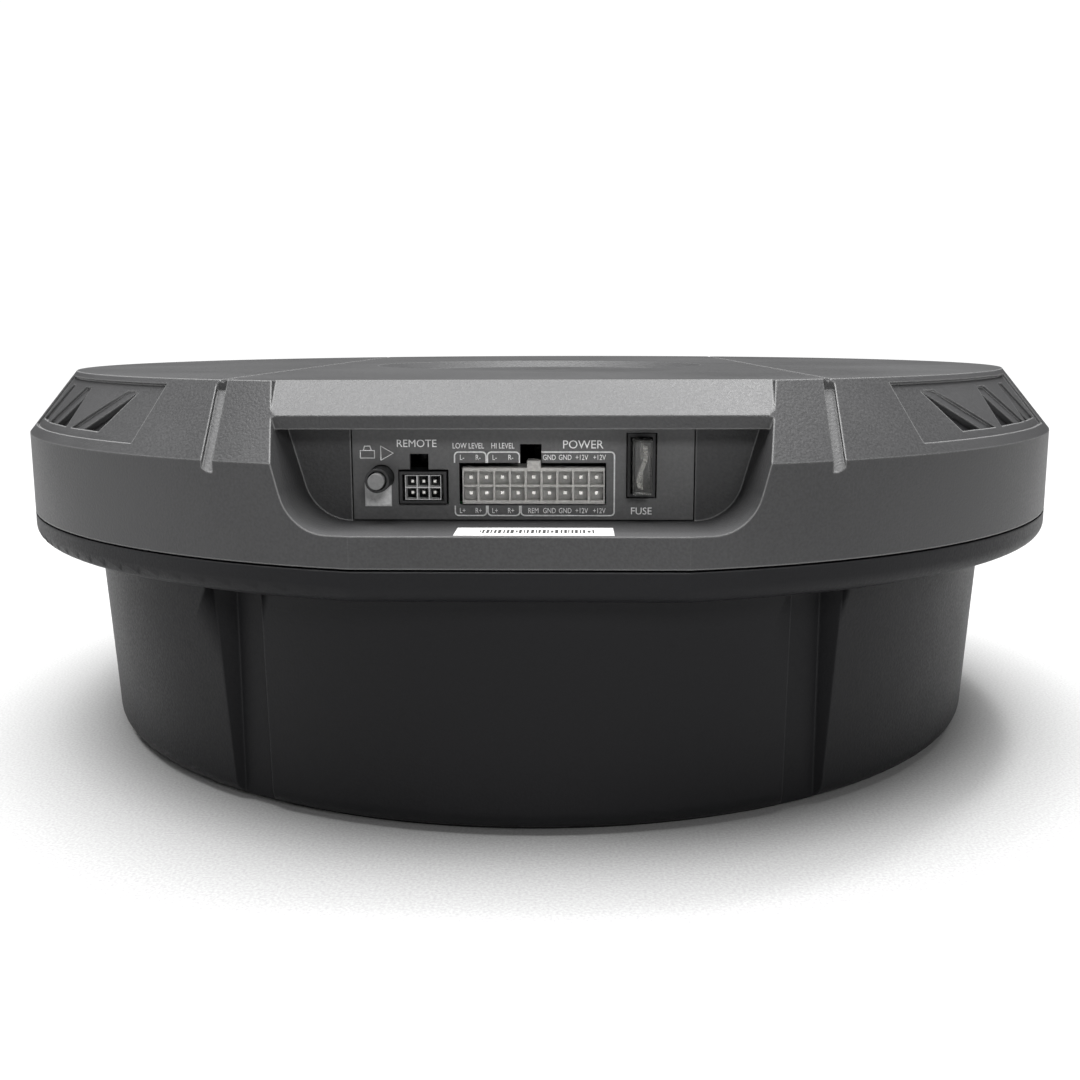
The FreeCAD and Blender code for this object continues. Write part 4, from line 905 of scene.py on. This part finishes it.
# %% Blank sticker
panel_y = panel_front / MM
blank = slab("blank_sticker", (-42.4, panel_y - 0.1, 91.4), (-35.2, panel_y, 98.0), 0.03)
sticker_grey = grained("sticker_grey", (0.66, 0.66, 0.66), 0.45, depth=0.003, rub_and_highlight=0.0, cloud=0.15)
put_on(blank, sticker_grey, "housing", slot="paper_white")
print("sticker", len(blank.data.polygons), "faces")

# %% [markdown]
# The remote socket is black, with a pale liner that frames its six contacts. The liner is a grid of
# thin walls, so it is an inset: a plate is cut into six cells, each cell is inset to leave a wall, and
# the cells are then pushed back.

# %% Remote socket liner
PITCH, LINER_RIM, LINER_WALL, CELL_DEPTH = 0.003, 0.0006, 0.00022, 0.004
low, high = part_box("remote_header_pins")
liner = bmesh.new()
bmesh.ops.create_grid(liner, x_segments=3, y_segments=2, size=0.5)
bmesh.ops.scale(liner, vec=(PITCH * 3 + LINER_RIM, PITCH * 2 + LINER_RIM, 1), verts=liner.verts)
bmesh.ops.inset_individual(liner, faces=liner.faces[:], thickness=LINER_WALL, depth=0.0)
cells = [face for face in liner.faces if face.calc_area() > PITCH * PITCH * 0.6]
pushed = bmesh.ops.extrude_discrete_faces(liner, faces=cells)["faces"]
for face in pushed:
    bmesh.ops.translate(liner, vec=(0, 0, -CELL_DEPTH), verts=face.verts)
bmesh.ops.delete(liner, geom=pushed, context="FACES_ONLY")
turn_up = Matrix.Rotation(math.pi / 2, 4, "X")
liner_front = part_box("remote_header_housing")[0].y
spot = Matrix.Translation(((low.x + high.x) / 2, liner_front + 0.0004, (low.z + high.z) / 2))
bmesh.ops.transform(liner, matrix=spot @ turn_up, verts=liner.verts)
liner_grey = grained("liner_grey", (0.60, 0.60, 0.60), 0.4, depth=0.004, rub_and_highlight=0.1, radius=0.1)
put_on(finished(liner, "remote_socket_liner"), liner_grey, "housing", slot="nylon_light")
print("liner has", len(cells), "cells")

# %% [markdown]
# The cells of the power socket are milky nylon that glows with the light it passes on, so they never
# look black. A thin floor of the same nylon just behind the pin tips gives them that tone.

# %% Power socket floor
FLOOR_BEHIND, FLOOR_WALL, FLOOR_MARGIN = 2.9, 0.4, 1.4
low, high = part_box("power_header_pins")
floor_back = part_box("power_header_housing")[0].y / MM + FLOOR_BEHIND
power_floor = slab(
    "power_socket_floor",
    (low.x / MM - FLOOR_MARGIN, floor_back - FLOOR_WALL, low.z / MM - FLOOR_MARGIN),
    (high.x / MM + FLOOR_MARGIN, floor_back, high.z / MM + FLOOR_MARGIN),
    0.05,
)
put_on(power_floor, natural_nylon, "housing", slot="nylon_light")
print("power socket floor", len(power_floor.data.polygons), "faces")

# %% [markdown]
# A blade fuse is a clear body over two flat blades, joined inside by a thin S-shaped link. The body is
# a slab whose face is inset and pushed in, and it is light-passing plastic, so the link shows through.

# %% Fuse shell
low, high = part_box("fuse_body")
shell = bmesh.new()
made = bmesh.ops.create_cube(shell, size=1.0)
bmesh.ops.scale(shell, vec=high - low, verts=made["verts"])
bmesh.ops.translate(shell, vec=(low + high) / 2, verts=made["verts"])
front_face = min(shell.faces, key=lambda face: face.calc_center_median().y)
bmesh.ops.inset_region(shell, faces=[front_face], thickness=0.0007, depth=0.0)
bmesh.ops.translate(shell, vec=(0, 0.0008, 0), verts=front_face.verts)
bmesh.ops.bevel(
    shell,
    geom=shell.edges[:],
    offset=0.00022,
    affect="EDGES",
    segments=2,
    profile=0.5,
    material=-1,
    clamp_overlap=True,
)
for face in shell.faces:
    face.smooth = True
clear_fuse = grained(
    "clear_fuse",
    (0.30, 0.30, 0.29),
    0.12,
    depth=0.002,
    rub_and_highlight=0.0,
    radius=0.2,
    cloud=0.05,
    Transmission_Weight=0.85,
    IOR=1.45,
)
put_on(finished(shell, "fuse_shell"), clear_fuse, "blade_fuse", "fuse_body", slot="fuse_clear")
print("fuse shell made")

# %% Fuse link
link = bmesh.new()
made = bmesh.ops.create_grid(link, x_segments=1, y_segments=14, size=0.5)
bmesh.ops.scale(link, vec=(0.0013, high.z - low.z - 0.003, 1), verts=link.verts)
for vertex in link.verts:
    vertex.co.x += 0.0009 * math.sin(vertex.co.y / (high.z - low.z) * math.tau)
bmesh.ops.solidify(link, geom=link.faces[:], thickness=0.0003)
centre = Vector(((low.x + high.x) / 2, low.y + 0.0022, (low.z + high.z) / 2))
bmesh.ops.transform(link, matrix=Matrix.Translation(centre) @ turn_up, verts=link.verts)
put_on(finished(link, "fuse_link"), tin, "blade_fuse", slot="tin_pin")
print("fuse link made")

# %% [markdown]
# The floor is plain pale paper with no grain. Its grey is well below white, because the ceiling lamp is
# strong and lifts it to white in the picture, while the shadow under the part keeps its soft edge.

# %% Floor finish
pale = grained("studio_white", (0.36, 0.36, 0.36), 0.9, cloud=0.0, depth=0.0, rub_and_highlight=0.0)
floor.data.materials.append(pale)
print("floor finished")
